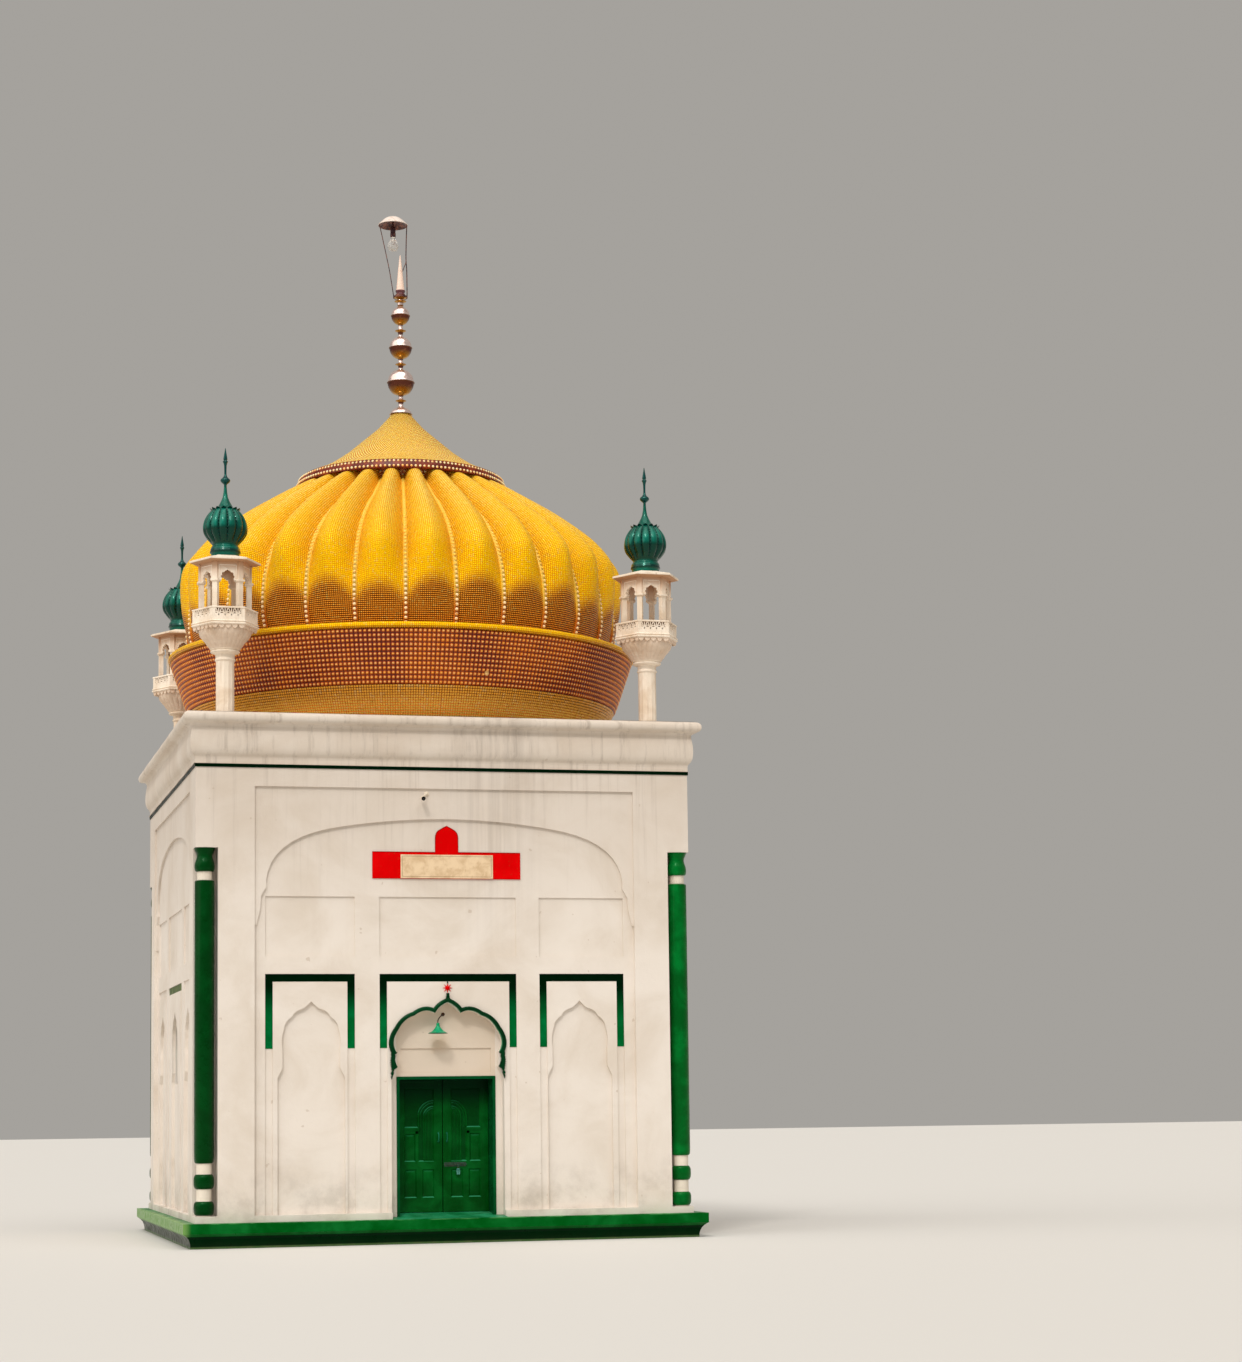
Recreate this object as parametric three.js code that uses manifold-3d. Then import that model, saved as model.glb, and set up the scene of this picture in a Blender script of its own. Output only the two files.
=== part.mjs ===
// A small domed shrine: square whitewashed hall on a green plinth, double door, three windows,
// four engaged corner columns, four roof minarets and a gold gadrooned dome with a lamp finial.
// Millimetres, Z up, ground at Z = 0, plan centre at the origin, doorway facing -Y.
import * as THREE from "three";
import { mergeVertices } from "three/addons/utils/BufferGeometryUtils.js";
import Module from "manifold-3d";

const wasm = await Module();
wasm.setup();

// Driving sizes.
const GAP = 0.3; // air between two pieces that rest on each other
const HALF = 3500; // wall face from the plan centre
const WALL = 600; // wall thickness
const PLINTH_TOP = 340;
const PLINTH_OUT = 170; // plinth beyond the wall face
const RELIEF_BASE = 430; // foot of the sunk work and of the corner notches
const WALL_TOP = 6550;
const STRIPE_TOP = 6600;
const CORNICE_TOP = 7310;
const ROOF_TOP = 7000;
const RING_IN = 3250; // inner face of the parapet
const NOTCH = 310; // square notch in each corner
const NOTCH_TOP = 5440;
const COLUMN_AT = 3360;
const COLUMN_R = 135;
const SPANDREL = 30; // depth of the recess above the wide arch
const FIELD = 65; // depth of the wall field under the wide arch
const PANEL = 20; // further depth of panels and grooves
const NICHE = 45; // further depth of the blind niches
const DOOR_HALF = 700; // half width of the door frame
const DOOR_TOP = 2290;
const FRAME = 40; // door frame member
const RECESS = 150; // further depth of the doorway recess, which the frame stands in
const ROLL_HALF = 29; // half width of the doorway roll; its inner edge is the edge of the recess
const SILL_TOP = 404; // height of the sloped sill at the door leaves
const LEAF_FACE = -3000; // outside face of the door leaves
const LEAF = 45; // leaf thickness
const MINARET_AT = 3050;
const LOBES = 28; // gadroons round the dome
const RIB_TURN = (3.68 * Math.PI) / 180; // first rib, from the front towards +X

// Colours read off the picture.
const WHITE = 0xebdfd0;
const GREEN = 0x0a5a2a;
const DOOR_GREEN = 0x045020;
const RED = 0xd0101a;
const CREAM = 0xe6d6b4;
const GOLD = 0xe9a80e;
const BRONZE = 0x9a5a14;
const STONE = 0xd9cdb8;
const TEAL = 0x0c6a52;
const STEEL = 0xc9b8b0;
const GLASS = 0x18282a;

const part = new THREE.Group();

function add(name, geometry, color, roughness = 0.7, metalness = 0) {
  const mesh = new THREE.Mesh(
    geometry,
    new THREE.MeshStandardMaterial({ color, roughness, metalness }),
  );
  mesh.name = name;
  part.add(mesh);
}

// Geometry to solid and back.
function solid(geometry) {
  const bare = new THREE.BufferGeometry();
  const flat = geometry.index ? geometry.toNonIndexed() : geometry;
  bare.setAttribute("position", flat.getAttribute("position"));
  const merged = mergeVertices(bare, 1e-3);
  return new wasm.Manifold(
    new wasm.Mesh({
      numProp: 3,
      vertProperties: merged.attributes.position.array,
      triVerts: new Uint32Array(merged.index.array),
    }),
  );
}

function geometry(body) {
  const mesh = body.getMesh();
  const out = new THREE.BufferGeometry();
  out.setAttribute("position", new THREE.BufferAttribute(mesh.vertProperties, 3));
  out.setIndex(new THREE.BufferAttribute(mesh.triVerts, 1));
  return out;
}

// Box between two corners.
function box(x0, y0, z0, x1, y1, z1) {
  const g = new THREE.BoxGeometry(x1 - x0, y1 - y0, z1 - z0);
  return g.translate((x0 + x1) / 2, (y0 + y1) / 2, (z0 + z1) / 2);
}

// Profile of [radius, height] pairs turned about Z; a ring profile is closed by its first point.
function turned(profile, segments, start = 0) {
  const points = profile.map(([r, z]) => new THREE.Vector2(r, z));
  return new THREE.LatheGeometry(points, segments, start).rotateX(Math.PI / 2);
}

function ring(profile, segments, start = 0) {
  return turned([...profile, profile[0]], segments, start);
}

// Square moulding of [half width, height] pairs.
function square(profile) {
  return turned(profile.map(([r, z]) => [r * Math.SQRT2, z]), 4, Math.PI / 4);
}

function squareRing(profile) {
  return square([...profile, profile[0]]);
}

// Outline in face coordinates [across, height], drawn into the front wall from its face
// (or from the face moved out by "lift") to the given depth.
function into(outline, depth, lift = 60) {
  const shape = new THREE.Shape(outline.map(([u, z]) => new THREE.Vector2(u, z)));
  const g = new THREE.ExtrudeGeometry(shape, {
    depth: depth + lift,
    bevelEnabled: false,
    curveSegments: 1,
  });
  return g.rotateX(Math.PI / 2).translate(0, -HALF + depth, 0);
}

function rectangle(u0, z0, u1, z1) {
  return [
    [u0, z0],
    [u1, z0],
    [u1, z1],
    [u0, z1],
  ];
}

// Half an arch, from the crown down, as quadratic lobes: start, then (control, end) pairs.
function lobed(start, lobes, steps) {
  const half = [start];
  let [u0, z0] = start;
  for (const [cu, cz, u1, z1] of lobes) {
    for (let i = 1; i <= steps; i += 1) {
      const t = i / steps;
      const a = (1 - t) * (1 - t);
      const b = 2 * t * (1 - t);
      const c = t * t;
      half.push([a * u0 + b * cu + c * u1, a * z0 + b * cz + c * z1]);
    }
    [u0, z0] = [u1, z1];
  }
  return half;
}

// Whole outline from its right half, counter-clockwise.
function mirrored(half) {
  const right = [...half].reverse();
  const left = half.slice(half[0][0] === 0 ? 1 : 0).map(([u, z]) => [-u, z]);
  return [...right, ...left];
}

function moved(outline, du, dz = 0, scale = 1, about = 0) {
  return outline.map(([u, z]) => [u * scale + du, about + (z - about) * scale + dz]);
}

// Wide depressed arch over the whole field, with its bracket ends.
const wideArch = mirrored([
  ...lobed([0, 5875], [[950, 5860, 1680, 5715], [2480, 5540, 2533, 4990]], 8),
  [2526, 4909],
  [2600, 4780],
  [2612, 4600],
  [2665, 4384],
  [2692, 4384],
  [2692, RELIEF_BASE],
]);

// Cusped doorway arch, down to its impost.
const doorHalf = lobed(
  [0, 3345],
  [
    [110, 3290, 190, 3200],
    [330, 3270, 484, 3155],
    [640, 3110, 720, 2960],
    [860, 2780, 765, 2612],
  ],
  5,
);
// Half outline moved outwards by a distance square to each of its sides, with mitred corners.
function widened(half, by) {
  const before = half.map((p, i) => (i ? half[i - 1] : [-half[1][0], half[1][1]]));
  const after = half.map((p, i) => half[i + 1] ?? [2 * p[0] - half[i - 1][0], 2 * p[1] - half[i - 1][1]]);
  return half.map(([u, z], i) => {
    const a = new THREE.Vector2(before[i][1] - z, u - before[i][0]).normalize();
    const b = new THREE.Vector2(z - after[i][1], after[i][0] - u).normalize();
    const grow = by / (1 + a.dot(b));
    return [i ? u + grow * (a.x + b.x) : 0, z + grow * (a.y + b.y)];
  });
}
// Recess from the impost down past its bracket to the plinth.
const doorRecess = mirrored([
  [720, 2640],
  [720, 2420],
  [795, 2275],
  [795, 0],
]);

// Blind niche with a small cusped head and a bracketed waist.
const nicheHalf = [
  ...lobed(
    [0, 3332],
    [
      [80, 3250, 110, 3235],
      [240, 3200, 262, 3125],
      [370, 3060, 375, 2960],
      [425, 2830, 397, 2660],
    ],
    4,
  ),
  [397, 2420],
  [466, 2280],
  [466, RELIEF_BASE],
];
const niche = mirrored(nicheHalf);

// Window head follows the niche, down to the sill.
const WINDOW_SILL = 2255;
const windowHole = mirrored([
  ...nicheHalf.filter(([, z]) => z > 2700).map(([u, z]) => [u * 0.9, z - 40]),
  [355, WINDOW_SILL],
]);

// Sunk work of one face, as a solid to cut from a wall on the -Y side.
function sunkWork(withDoor) {
  const cuts = [
    into(rectangle(-2690, RELIEF_BASE, 2690, 6295), SPANDREL),
    into(wideArch, FIELD),
  ];
  const bays = [
    [-2540, -1300],
    [-955, 983],
    [1315, 2537],
  ];
  for (const [u0, u1] of bays) {
    cuts.push(into(rectangle(u0, 3955, u1, 4780), FIELD + PANEL));
    const groove = solid(into(rectangle(u0, RELIEF_BASE, u1, 3710), FIELD + PANEL));
    const middle = solid(into(rectangle(u0 + 105, 0, u1 - 105, 3600), 200, 200));
    cuts.push(geometry(groove.subtract(middle)));
  }
  for (const u of withDoor ? [-1905, 1890] : [-1905, 0, 1890]) {
    cuts.push(into(moved(niche, u), FIELD + NICHE));
  }
  if (withDoor) {
    cuts.push(into(mirrored(widened(doorHalf, -ROLL_HALF)), FIELD + RECESS));
    cuts.push(into(doorRecess, FIELD + RECESS));
    cuts.push(into(rectangle(-640, 2340, 640, 2680), FIELD + RECESS + PANEL));
  } else {
    cuts.push(into(windowHole, WALL + 50));
  }
  return wasm.Manifold.union(cuts.map(solid));
}

// Plinth: foot, curved undercut and green band; its top is also the floor of the hall.
add(
  "plinth",
  square([
    [0, 0],
    [HALF + 60, 0],
    [HALF + 60, 40],
    [HALF + 66, 80],
    [HALF + 86, 130],
    [HALF + 120, 170],
    [HALF + 160, 200],
    [HALF + PLINTH_OUT, 205],
    [HALF + PLINTH_OUT, PLINTH_TOP],
    [0, PLINTH_TOP],
  ]),
  GREEN,
  0.35,
);

// Walls.
const foot = PLINTH_TOP + GAP;
const slabFront = solid(box(-HALF, -HALF, foot, HALF, -HALF + WALL, WALL_TOP));
const notches = wasm.Manifold.union(
  [-1, 1].map((s) =>
    solid(
      box(
        s > 0 ? HALF - NOTCH : -HALF - 50,
        -HALF - 50,
        RELIEF_BASE,
        s > 0 ? HALF + 50 : -HALF + NOTCH,
        -HALF + NOTCH,
        NOTCH_TOP,
      ),
    ),
  ),
);
const front = slabFront.subtract(sunkWork(true)).subtract(notches);
const cornersOnly = slabFront.subtract(sunkWork(false)).subtract(notches);
const keepLeft = solid(box(-4000, -4000, 0, -DOOR_HALF - GAP, -2000, 8000));
const keepRight = solid(box(DOOR_HALF + GAP, -4000, 0, 4000, -2000, 8000));
const keepOver = solid(box(-DOOR_HALF, -4000, DOOR_TOP + GAP, DOOR_HALF, -2000, 8000));
add("wall_front_left", geometry(front.intersect(keepLeft)), WHITE, 0.8);
add("wall_front_right", geometry(front.intersect(keepRight)), WHITE, 0.8);
add("wall_front_over_door", geometry(front.intersect(keepOver)), WHITE, 0.8);
add("wall_back", geometry(cornersOnly).rotateZ(Math.PI), WHITE, 0.8);

const reach = HALF - WALL - GAP;
const slabSide = solid(box(-reach, -HALF, foot, reach, -HALF + WALL, WALL_TOP));
const side = slabSide.subtract(sunkWork(false));
add("wall_left", geometry(side).rotateZ(-Math.PI / 2), WHITE, 0.8);
add("wall_right", geometry(side).rotateZ(Math.PI / 2), WHITE, 0.8);

// Engaged corner columns: capital, long shaft and two beads on one core.
const columnProfile = [
  [0, RELIEF_BASE + GAP],
  [100, RELIEF_BASE + GAP],
  [COLUMN_R, 490],
  [COLUMN_R, 570],
  [104, 628],
  [104, 792],
  [COLUMN_R, 850],
  [COLUMN_R, 940],
  [104, 1000],
  [104, 1140],
  [COLUMN_R, 1200],
  [COLUMN_R, 4990],
  [104, 5000],
  [104, 5115],
  [COLUMN_R, 5190],
  [COLUMN_R, 5290],
  [122, 5340],
  [132, 5400],
  [100, NOTCH_TOP - GAP],
  [0, NOTCH_TOP - GAP],
];
for (const [name, sx, sy] of [
  ["front_left", -1, -1],
  ["front_right", 1, -1],
  ["back_left", -1, 1],
  ["back_right", 1, 1],
]) {
  add(
    "column_" + name,
    turned(columnProfile, 12).translate(sx * COLUMN_AT, sy * COLUMN_AT, 0),
    GREEN,
    0.3,
  );
}

// Green string course, cornice with its roll, and the flat roof.
add(
  "string_course",
  squareRing([
    [RING_IN, WALL_TOP + GAP],
    [HALF + 12, WALL_TOP + GAP],
    [HALF + 12, STRIPE_TOP],
    [RING_IN, STRIPE_TOP],
  ]),
  GREEN,
  0.4,
);
add(
  "cornice",
  squareRing([
    [RING_IN, STRIPE_TOP + GAP],
    [HALF + 12, STRIPE_TOP + GAP],
    [HALF + 12, 6690],
    [HALF + 50, 6730],
    [HALF + 72, 6785],
    [HALF + 80, 6860],
    [HALF + 78, 6960],
    [HALF + 64, 7070],
    [HALF + 64, 7110],
    [HALF + 88, 7150],
    [HALF + 150, 7165],
    [HALF + 180, 7200],
    [HALF + 184, 7240],
    [HALF + 160, 7285],
    [HALF + 96, CORNICE_TOP],
    [RING_IN, CORNICE_TOP],
  ]),
  WHITE,
  0.8,
);
const EYE_R = 2600;
const roofBlock = solid(box(-RING_IN + 1, -RING_IN + 1, WALL_TOP + GAP, RING_IN - 1, RING_IN - 1, ROOF_TOP));
const eye = solid(turned([[0, 6400], [EYE_R, 6400], [EYE_R, 7100], [0, 7100]], 40));
add("roof", geometry(roofBlock.subtract(eye)), WHITE, 0.9);

// Dome: bowl-shaped drum, projecting moulding, gadrooned shell, bead collar and concave cap.
add(
  "drum",
  ring(
    [
      [2680, ROOF_TOP + GAP],
      [2830, ROOF_TOP + GAP],
      [2985, 7310],
      [3200, 7750],
      [3355, 8130],
      [3500, 8575],
      [3100, 8575],
    ],
    60,
  ),
  BRONZE,
  0.45,
  0.3,
);
add(
  "dome_moulding",
  ring(
    [
      [3060, 8575 + GAP],
      [3505, 8575 + GAP],
      [3538, 8605],
      [3538, 8645],
      [3505, 8672],
      [3060, 8672],
    ],
    60,
  ),
  GOLD,
  0.35,
  0.4,
);

// Shell radius by height in the valleys; each gadroon swells between two of them.
const SHELL_TOP = 11330;
const COLLAR_TOP = 11465;
// Each row: lobe crest radius and height, then rib valley radius and height.
const shellRows = [
  [3176, 8672 + GAP, 3165, 8672 + GAP],
  [3250, 8950, 3232, 8950],
  [3325, 9250, 3237, 9220],
  [3357, 9520, 3205, 9480],
  [3363, 9780, 3140, 9690],
  [3309, 10030, 3050, 9890],
  [3100, 10300, 2905, 10105],
  [2850, 10520, 2680, 10340],
  [2450, 10810, 2330, 10604],
  [2050, 11058, 1930, 10843],
  [1760, 11232, 1600, 11058],
  [1610, SHELL_TOP, 1162, SHELL_TOP],
];

// Closed shell of round lobes that meet in valleys, the first valley turned by RIB_TURN.
function gadrooned(rows, lobes, perLobe) {
  const around = lobes * perLobe;
  const positions = [];
  const index = [];
  for (const [crestR, crestZ, valleyR, valleyZ] of rows) {
    for (let i = 0; i < around; i += 1) {
      const turn = RIB_TURN + (i / around) * 2 * Math.PI;
      const across = ((i % perLobe) / perLobe) * 2 - 1;
      const rise = Math.pow(1 - across * across, 0.6);
      const full = valleyR + (crestR - valleyR) * rise;
      const z = valleyZ + (crestZ - valleyZ) * rise;
      positions.push(full * Math.sin(turn), -full * Math.cos(turn), z);
    }
  }
  const foot = rows[0];
  const head = rows[rows.length - 1];
  positions.push(0, 0, foot[1], 0, 0, head[1]);
  const bottom = rows.length * around;
  const top = bottom + 1;
  for (let i = 0; i < around; i += 1) {
    const j = (i + 1) % around;
    for (let k = 0; k < rows.length - 1; k += 1) {
      const a = k * around + i;
      const b = k * around + j;
      index.push(a, b, b + around, a, b + around, a + around);
    }
    index.push(bottom, j, i);
    index.push(top, (rows.length - 1) * around + i, (rows.length - 1) * around + j);
  }
  const g = new THREE.BufferGeometry();
  g.setAttribute("position", new THREE.Float32BufferAttribute(positions, 3));
  g.setIndex(index);
  return g;
}

const shellOuter = solid(gadrooned(shellRows, LOBES, 4));
const shellInner = solid(
  turned(
    [
      [0, 8600],
      [3000, 8600],
      [3040, 9250],
      [2960, 9600],
      [2790, 9950],
      [2520, 10290],
      [1870, 10760],
      [1050, 11240],
      [1050, 11500],
      [0, 11500],
    ],
    30,
  ),
);
add("dome_shell", geometry(shellOuter.subtract(shellInner)), GOLD, 0.35, 0.4);
add(
  "dome_collar",
  ring(
    [
      [1380, SHELL_TOP + GAP],
      [1592, SHELL_TOP + GAP],
      [1604, 11350],
      [1604, 11372],
      [1562, COLLAR_TOP],
      [1380, COLLAR_TOP],
    ],
    48,
  ),
  BRONZE,
  0.4,
  0.3,
);
add(
  "dome_cap",
  turned(
    [
      [0, 11415],
      [1340, 11415],
      [1350, COLLAR_TOP + GAP],
      [1530, COLLAR_TOP + GAP],
      [1516, 11482],
      [1310, 11567],
      [1101, 11682],
      [848, 11857],
      [613, 12032],
      [417, 12217],
      [236, 12417],
      [150, 12520],
      [0, 12520],
    ],
    36,
  ),
  GOLD,
  0.35,
  0.4,
);

// Finial: cap, three balls between discs, cups and a white spike.
const FINIAL_FOOT = 12520 + GAP;
const finialProfile = [
  [0, FINIAL_FOOT],
  [170, FINIAL_FOOT],
  [165, 12600],
  [40, 12690],
  [80, 12742],
  [40, 12800],
  [130, 12890],
  [208, 12985],
  [206, 13065],
  [130, 13160],
  [40, 13250],
  [82, 13315],
  [40, 13380],
  [120, 13470],
  [176, 13560],
  [168, 13630],
  [40, 13780],
  [84, 13845],
  [40, 13910],
  [110, 14000],
  [146, 14075],
  [136, 14125],
  [46, 14215],
  [46, 14290],
  [86, 14322],
  [50, 14350],
  [98, 14378],
  [98, 14398],
  [50, 14410],
  [72, 14450],
  [72, 14485],
  [34, 14900],
  [6, 15060],
  [0, 15060],
];
add("finial", turned(finialProfile, 12), STEEL, 0.2, 0.9);

// Lamp over the finial: two thin rods from a clip on the flange to a wide dish, and a socket.
const LAMP_X = -111;
function rod(from, to, radius) {
  const a = new THREE.Vector3(...from);
  const b = new THREE.Vector3(...to);
  const way = b.clone().sub(a);
  const g = new THREE.CylinderGeometry(radius, radius, way.length(), 6);
  g.applyQuaternion(
    new THREE.Quaternion().setFromUnitVectors(new THREE.Vector3(0, 1, 0), way.clone().normalize()),
  );
  return g.translate(...a.add(b).multiplyScalar(0.5).toArray());
}
const clip = solid(ring([[98.3, 14372], [112, 14372], [112, 14404], [98.3, 14404]], 12));
const dish = solid(
  turned(
    [
      [0, 15598],
      [60, 15595],
      [226, 15520],
      [226, 15532],
      [150, 15625],
      [0, 15668],
    ],
    20,
  ).translate(LAMP_X, 0, 0),
);
const socket = solid(turned([[0, 15335], [42, 15335], [42, 15480], [24, 15510], [24, 15610], [0, 15610]], 12).translate(LAMP_X, 0, 0));
const rodA = solid(rod([-106, 0, 14388], [LAMP_X - 206, 0, 15540], 7));
const rodB = solid(rod([106, 0, 14388], [LAMP_X + 206, 0, 15540], 7));
add("finial_lamp", geometry(wasm.Manifold.union([clip, dish, socket, rodA, rodB])), STONE, 0.4);
add(
  "lamp_bulb",
  turned(
    [
      [0, 15110],
      [50, 15122],
      [84, 15170],
      [84, 15215],
      [60, 15280],
      [34, 15318],
      [34, 15335 - GAP],
      [0, 15335 - GAP],
    ],
    14,
  ).translate(LAMP_X, 0, 0),
  0xf4f4ee,
  0.1,
);

// Minarets: round shaft, rings and bowl, then a six-sided balcony, a kiosk of six arches and an eave.
// Six-sided profiles give the distance from the axis to the middle of a side.
const KIOSK_SIDES = 6;
function hexagon(profile) {
  const toCorner = 1 / Math.cos(Math.PI / KIOSK_SIDES);
  return turned(profile.map(([r, z]) => [r * toCorner, z]), KIOSK_SIDES, Math.PI / KIOSK_SIDES);
}
function hexagonRing(profile) {
  return hexagon([...profile, profile[0]]);
}
const KIOSK_FOOT = 8635;
const KIOSK_HEAD = 9447;
const RAIL_TOP = 8803;
const EAVE_TOP = 9560;
const shaftBody = solid(
  turned(
    [
      [0, ROOF_TOP + GAP],
      [154, ROOF_TOP + GAP],
      [154, 7110],
      [129, 7150],
      [129, 8085],
      [144, 8100],
      [144, 8118],
      [136, 8126],
      [136, 8188],
      [198, 8200],
      [206, 8218],
      [190, 8238],
      [216, 8262],
      [248, 8305],
      [284, 8353],
      [324, 8398],
      [352, 8436],
      [366, 8480],
      [370, 8520],
      [370, 8580],
      [0, 8580],
    ],
    24,
  ),
);
const tray = solid(hexagon([[0, 8500], [372, 8500], [378, 8545], [388, 8556], [388, KIOSK_FOOT], [0, KIOSK_FOOT]]));
const rail = solid(hexagonRing([[352, KIOSK_FOOT - 20], [388, KIOSK_FOOT - 20], [388, RAIL_TOP], [352, RAIL_TOP]]));
const deck = solid(
  hexagonRing([[250, KIOSK_FOOT - 20], [322, KIOSK_FOOT - 20], [322, KIOSK_HEAD + 20], [250, KIOSK_HEAD + 20]]),
);
const eave = solid(
  hexagon([
    [0, KIOSK_HEAD],
    [322, KIOSK_HEAD],
    [398, 9462],
    [404, 9478],
    [404, 9494],
    [240, 9546],
    [208, EAVE_TOP],
    [0, EAVE_TOP],
  ]),
);
// Arched gaps between the six kiosk columns, cut from the ring of the kiosk.
const gapHalf = [
  [0, 9326],
  [40, 9300],
  [82, 9272],
  [92, 9206],
  [122, 9186],
  [122, KIOSK_FOOT - 10],
];
const gapShape = new THREE.Shape(mirrored(gapHalf).map(([u, z]) => new THREE.Vector2(u, z)));
const arches = [];
for (let k = 0; k < KIOSK_SIDES; k += 1) {
  const cut = new THREE.ExtrudeGeometry(gapShape, { depth: 200, bevelEnabled: false, curveSegments: 1 });
  cut.rotateX(Math.PI / 2).translate(0, -190, 0);
  arches.push(solid(cut.rotateZ((k * 2 * Math.PI) / KIOSK_SIDES)));
}
const kiosk = deck.subtract(wasm.Manifold.union(arches));
const tower = wasm.Manifold.union([shaftBody, tray, rail, kiosk, eave]);

const onionProfile = [
  [0, EAVE_TOP + GAP],
  [196, EAVE_TOP + GAP],
  [196, 9605],
  [212, 9620],
  [212, 9690],
  [182, 9712],
  [182, 9740],
  [262, 9828],
  [309, 9925],
  [306, 10035],
  [250, 10160],
  [190, 10232],
  [204, 10254],
  [80, 10322],
  [36, 10420],
  [20, 10600],
  [68, 10664],
  [18, 10740],
  [14, 10900],
  [36, 10930],
  [16, 10960],
  [4, 11125],
  [0, 11125],
];
for (const [name, sx, sy] of [
  ["front_left", -1, -1],
  ["front_right", 1, -1],
  ["back_left", -1, 1],
  ["back_right", 1, 1],
]) {
  const at = [sx * MINARET_AT, sy * MINARET_AT, 0];
  add("minaret_" + name, geometry(tower).translate(...at), STONE, 0.8);
  add("onion_" + name, turned(onionProfile, 10).translate(...at), TEAL, 0.3);
}

// Doorway: painted frame through the wall, two panelled leaves, pulls, sliding bolt and padlock.
const frameOuter = solid(
  box(
    -DOOR_HALF + GAP,
    -HALF + FIELD + RECESS - 12,
    foot,
    DOOR_HALF - GAP,
    LEAF_FACE + LEAF + 30,
    DOOR_TOP - GAP,
  ),
);
const frameHole = solid(
  box(-DOOR_HALF + FRAME, -HALF - 50, 0, DOOR_HALF - FRAME, -2000, DOOR_TOP - FRAME),
);
// Sloped sill: from a feather edge on the plinth, up between the frame's sides to the leaves.
const FRAME_FACE = -HALF + FIELD + RECESS - 12;
function sillPart(halfWidth, outline) {
  const shape = new THREE.Shape(outline.map(([y, z]) => new THREE.Vector2(y, z)));
  const g = new THREE.ExtrudeGeometry(shape, { depth: 2 * halfWidth, bevelEnabled: false });
  return solid(g.rotateX(Math.PI / 2).rotateZ(Math.PI / 2).translate(-halfWidth, 0, 0));
}
const sillFront = sillPart(795 - GAP, [
  [-3640, foot],
  [FRAME_FACE - GAP, foot],
  [FRAME_FACE - GAP, 366],
  [-3640, 343],
]);
const sillInner = sillPart(DOOR_HALF - FRAME - GAP, [
  [FRAME_FACE - GAP, foot],
  [LEAF_FACE + 70, foot],
  [LEAF_FACE + 70, SILL_TOP],
  [LEAF_FACE - 6, SILL_TOP],
  [FRAME_FACE - GAP, 366],
]);
add("door_sill", geometry(sillFront.add(sillInner)), GREEN, 0.35);

// Hinge barrels on the room side, each just clear of its leaf's corner.
const HINGE_X = 657;
const HINGE_Y = LEAF_FACE + LEAF + 7;
const barrels = [-1, 1].flatMap((s) =>
  [560, 1300, 2040].map((z) => {
    const barrel = new THREE.CylinderGeometry(7.3, 7.3, 90, 12).rotateX(Math.PI / 2);
    return solid(barrel.translate(s * HINGE_X, HINGE_Y, z));
  }),
);
const frameBody = frameOuter.subtract(frameHole).add(wasm.Manifold.union(barrels));
add("door_frame", geometry(frameBody), DOOR_GREEN, 0.35);

const LEAF_SIDE = 6; // air at the hinge side
const LEAF_MEET = 5; // half the air between the leaves
const LEAF_FOOT = SILL_TOP + 6;
const LEAF_HEAD = DOOR_TOP - FRAME - 6;
const leafOuter = DOOR_HALF - FRAME - LEAF_SIDE;
const leafSlab = solid(box(LEAF_MEET, LEAF_FACE, LEAF_FOOT, leafOuter, LEAF_FACE + LEAF, LEAF_HEAD));
// Sunk panels of the right-hand leaf: quarter-round headed panel, side panel, two low panels.
const ARCH_R = 400;
const archPanel = [[80, 1200], [ARCH_R, 1200]];
for (let i = 0; i <= 6; i += 1) {
  const turn = ((i / 6) * Math.PI) / 2;
  const u = 80 + (ARCH_R - 80) * Math.cos(turn);
  archPanel.push([u, 1740 + (ARCH_R - 80) * Math.sin(turn)]);
}
const leafPanels = [
  archPanel,
  rectangle(470, 1200, 600, 1900),
  rectangle(80, 470, 310, 1000),
  rectangle(360, 470, 600, 1000),
];
function fromFace(outline, depth) {
  const shape = new THREE.Shape(outline.map(([u, z]) => new THREE.Vector2(u, z)));
  const g = new THREE.ExtrudeGeometry(shape, { depth: depth + 20, bevelEnabled: false, curveSegments: 1 });
  return g.rotateX(Math.PI / 2).translate(0, LEAF_FACE + depth, 0);
}
const leafRight = leafSlab.subtract(wasm.Manifold.union(leafPanels.map((p) => solid(fromFace(p, 12)))));
const leafLeft = leafRight.mirror([1, 0, 0]);
add("door_leaf_left", geometry(leafLeft), DOOR_GREEN, 0.35);
add("door_leaf_right", geometry(leafRight), DOOR_GREEN, 0.35);

// D-shaped pull seated on a leaf.
function pull(x) {
  const y = LEAF_FACE - GAP;
  const grip = solid(box(x - 7, y - 42, 1380, x + 7, y - 28, 1510));
  const low = solid(box(x - 7, y - 42, 1380, x + 7, y, 1394));
  const high = solid(box(x - 7, y - 42, 1496, x + 7, y, 1510));
  return geometry(wasm.Manifold.union([grip, low, high]));
}
add("door_pull_left", pull(-60), DOOR_GREEN, 0.35, 0.4);
add("door_pull_right", pull(60), DOOR_GREEN, 0.35, 0.4);

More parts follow.
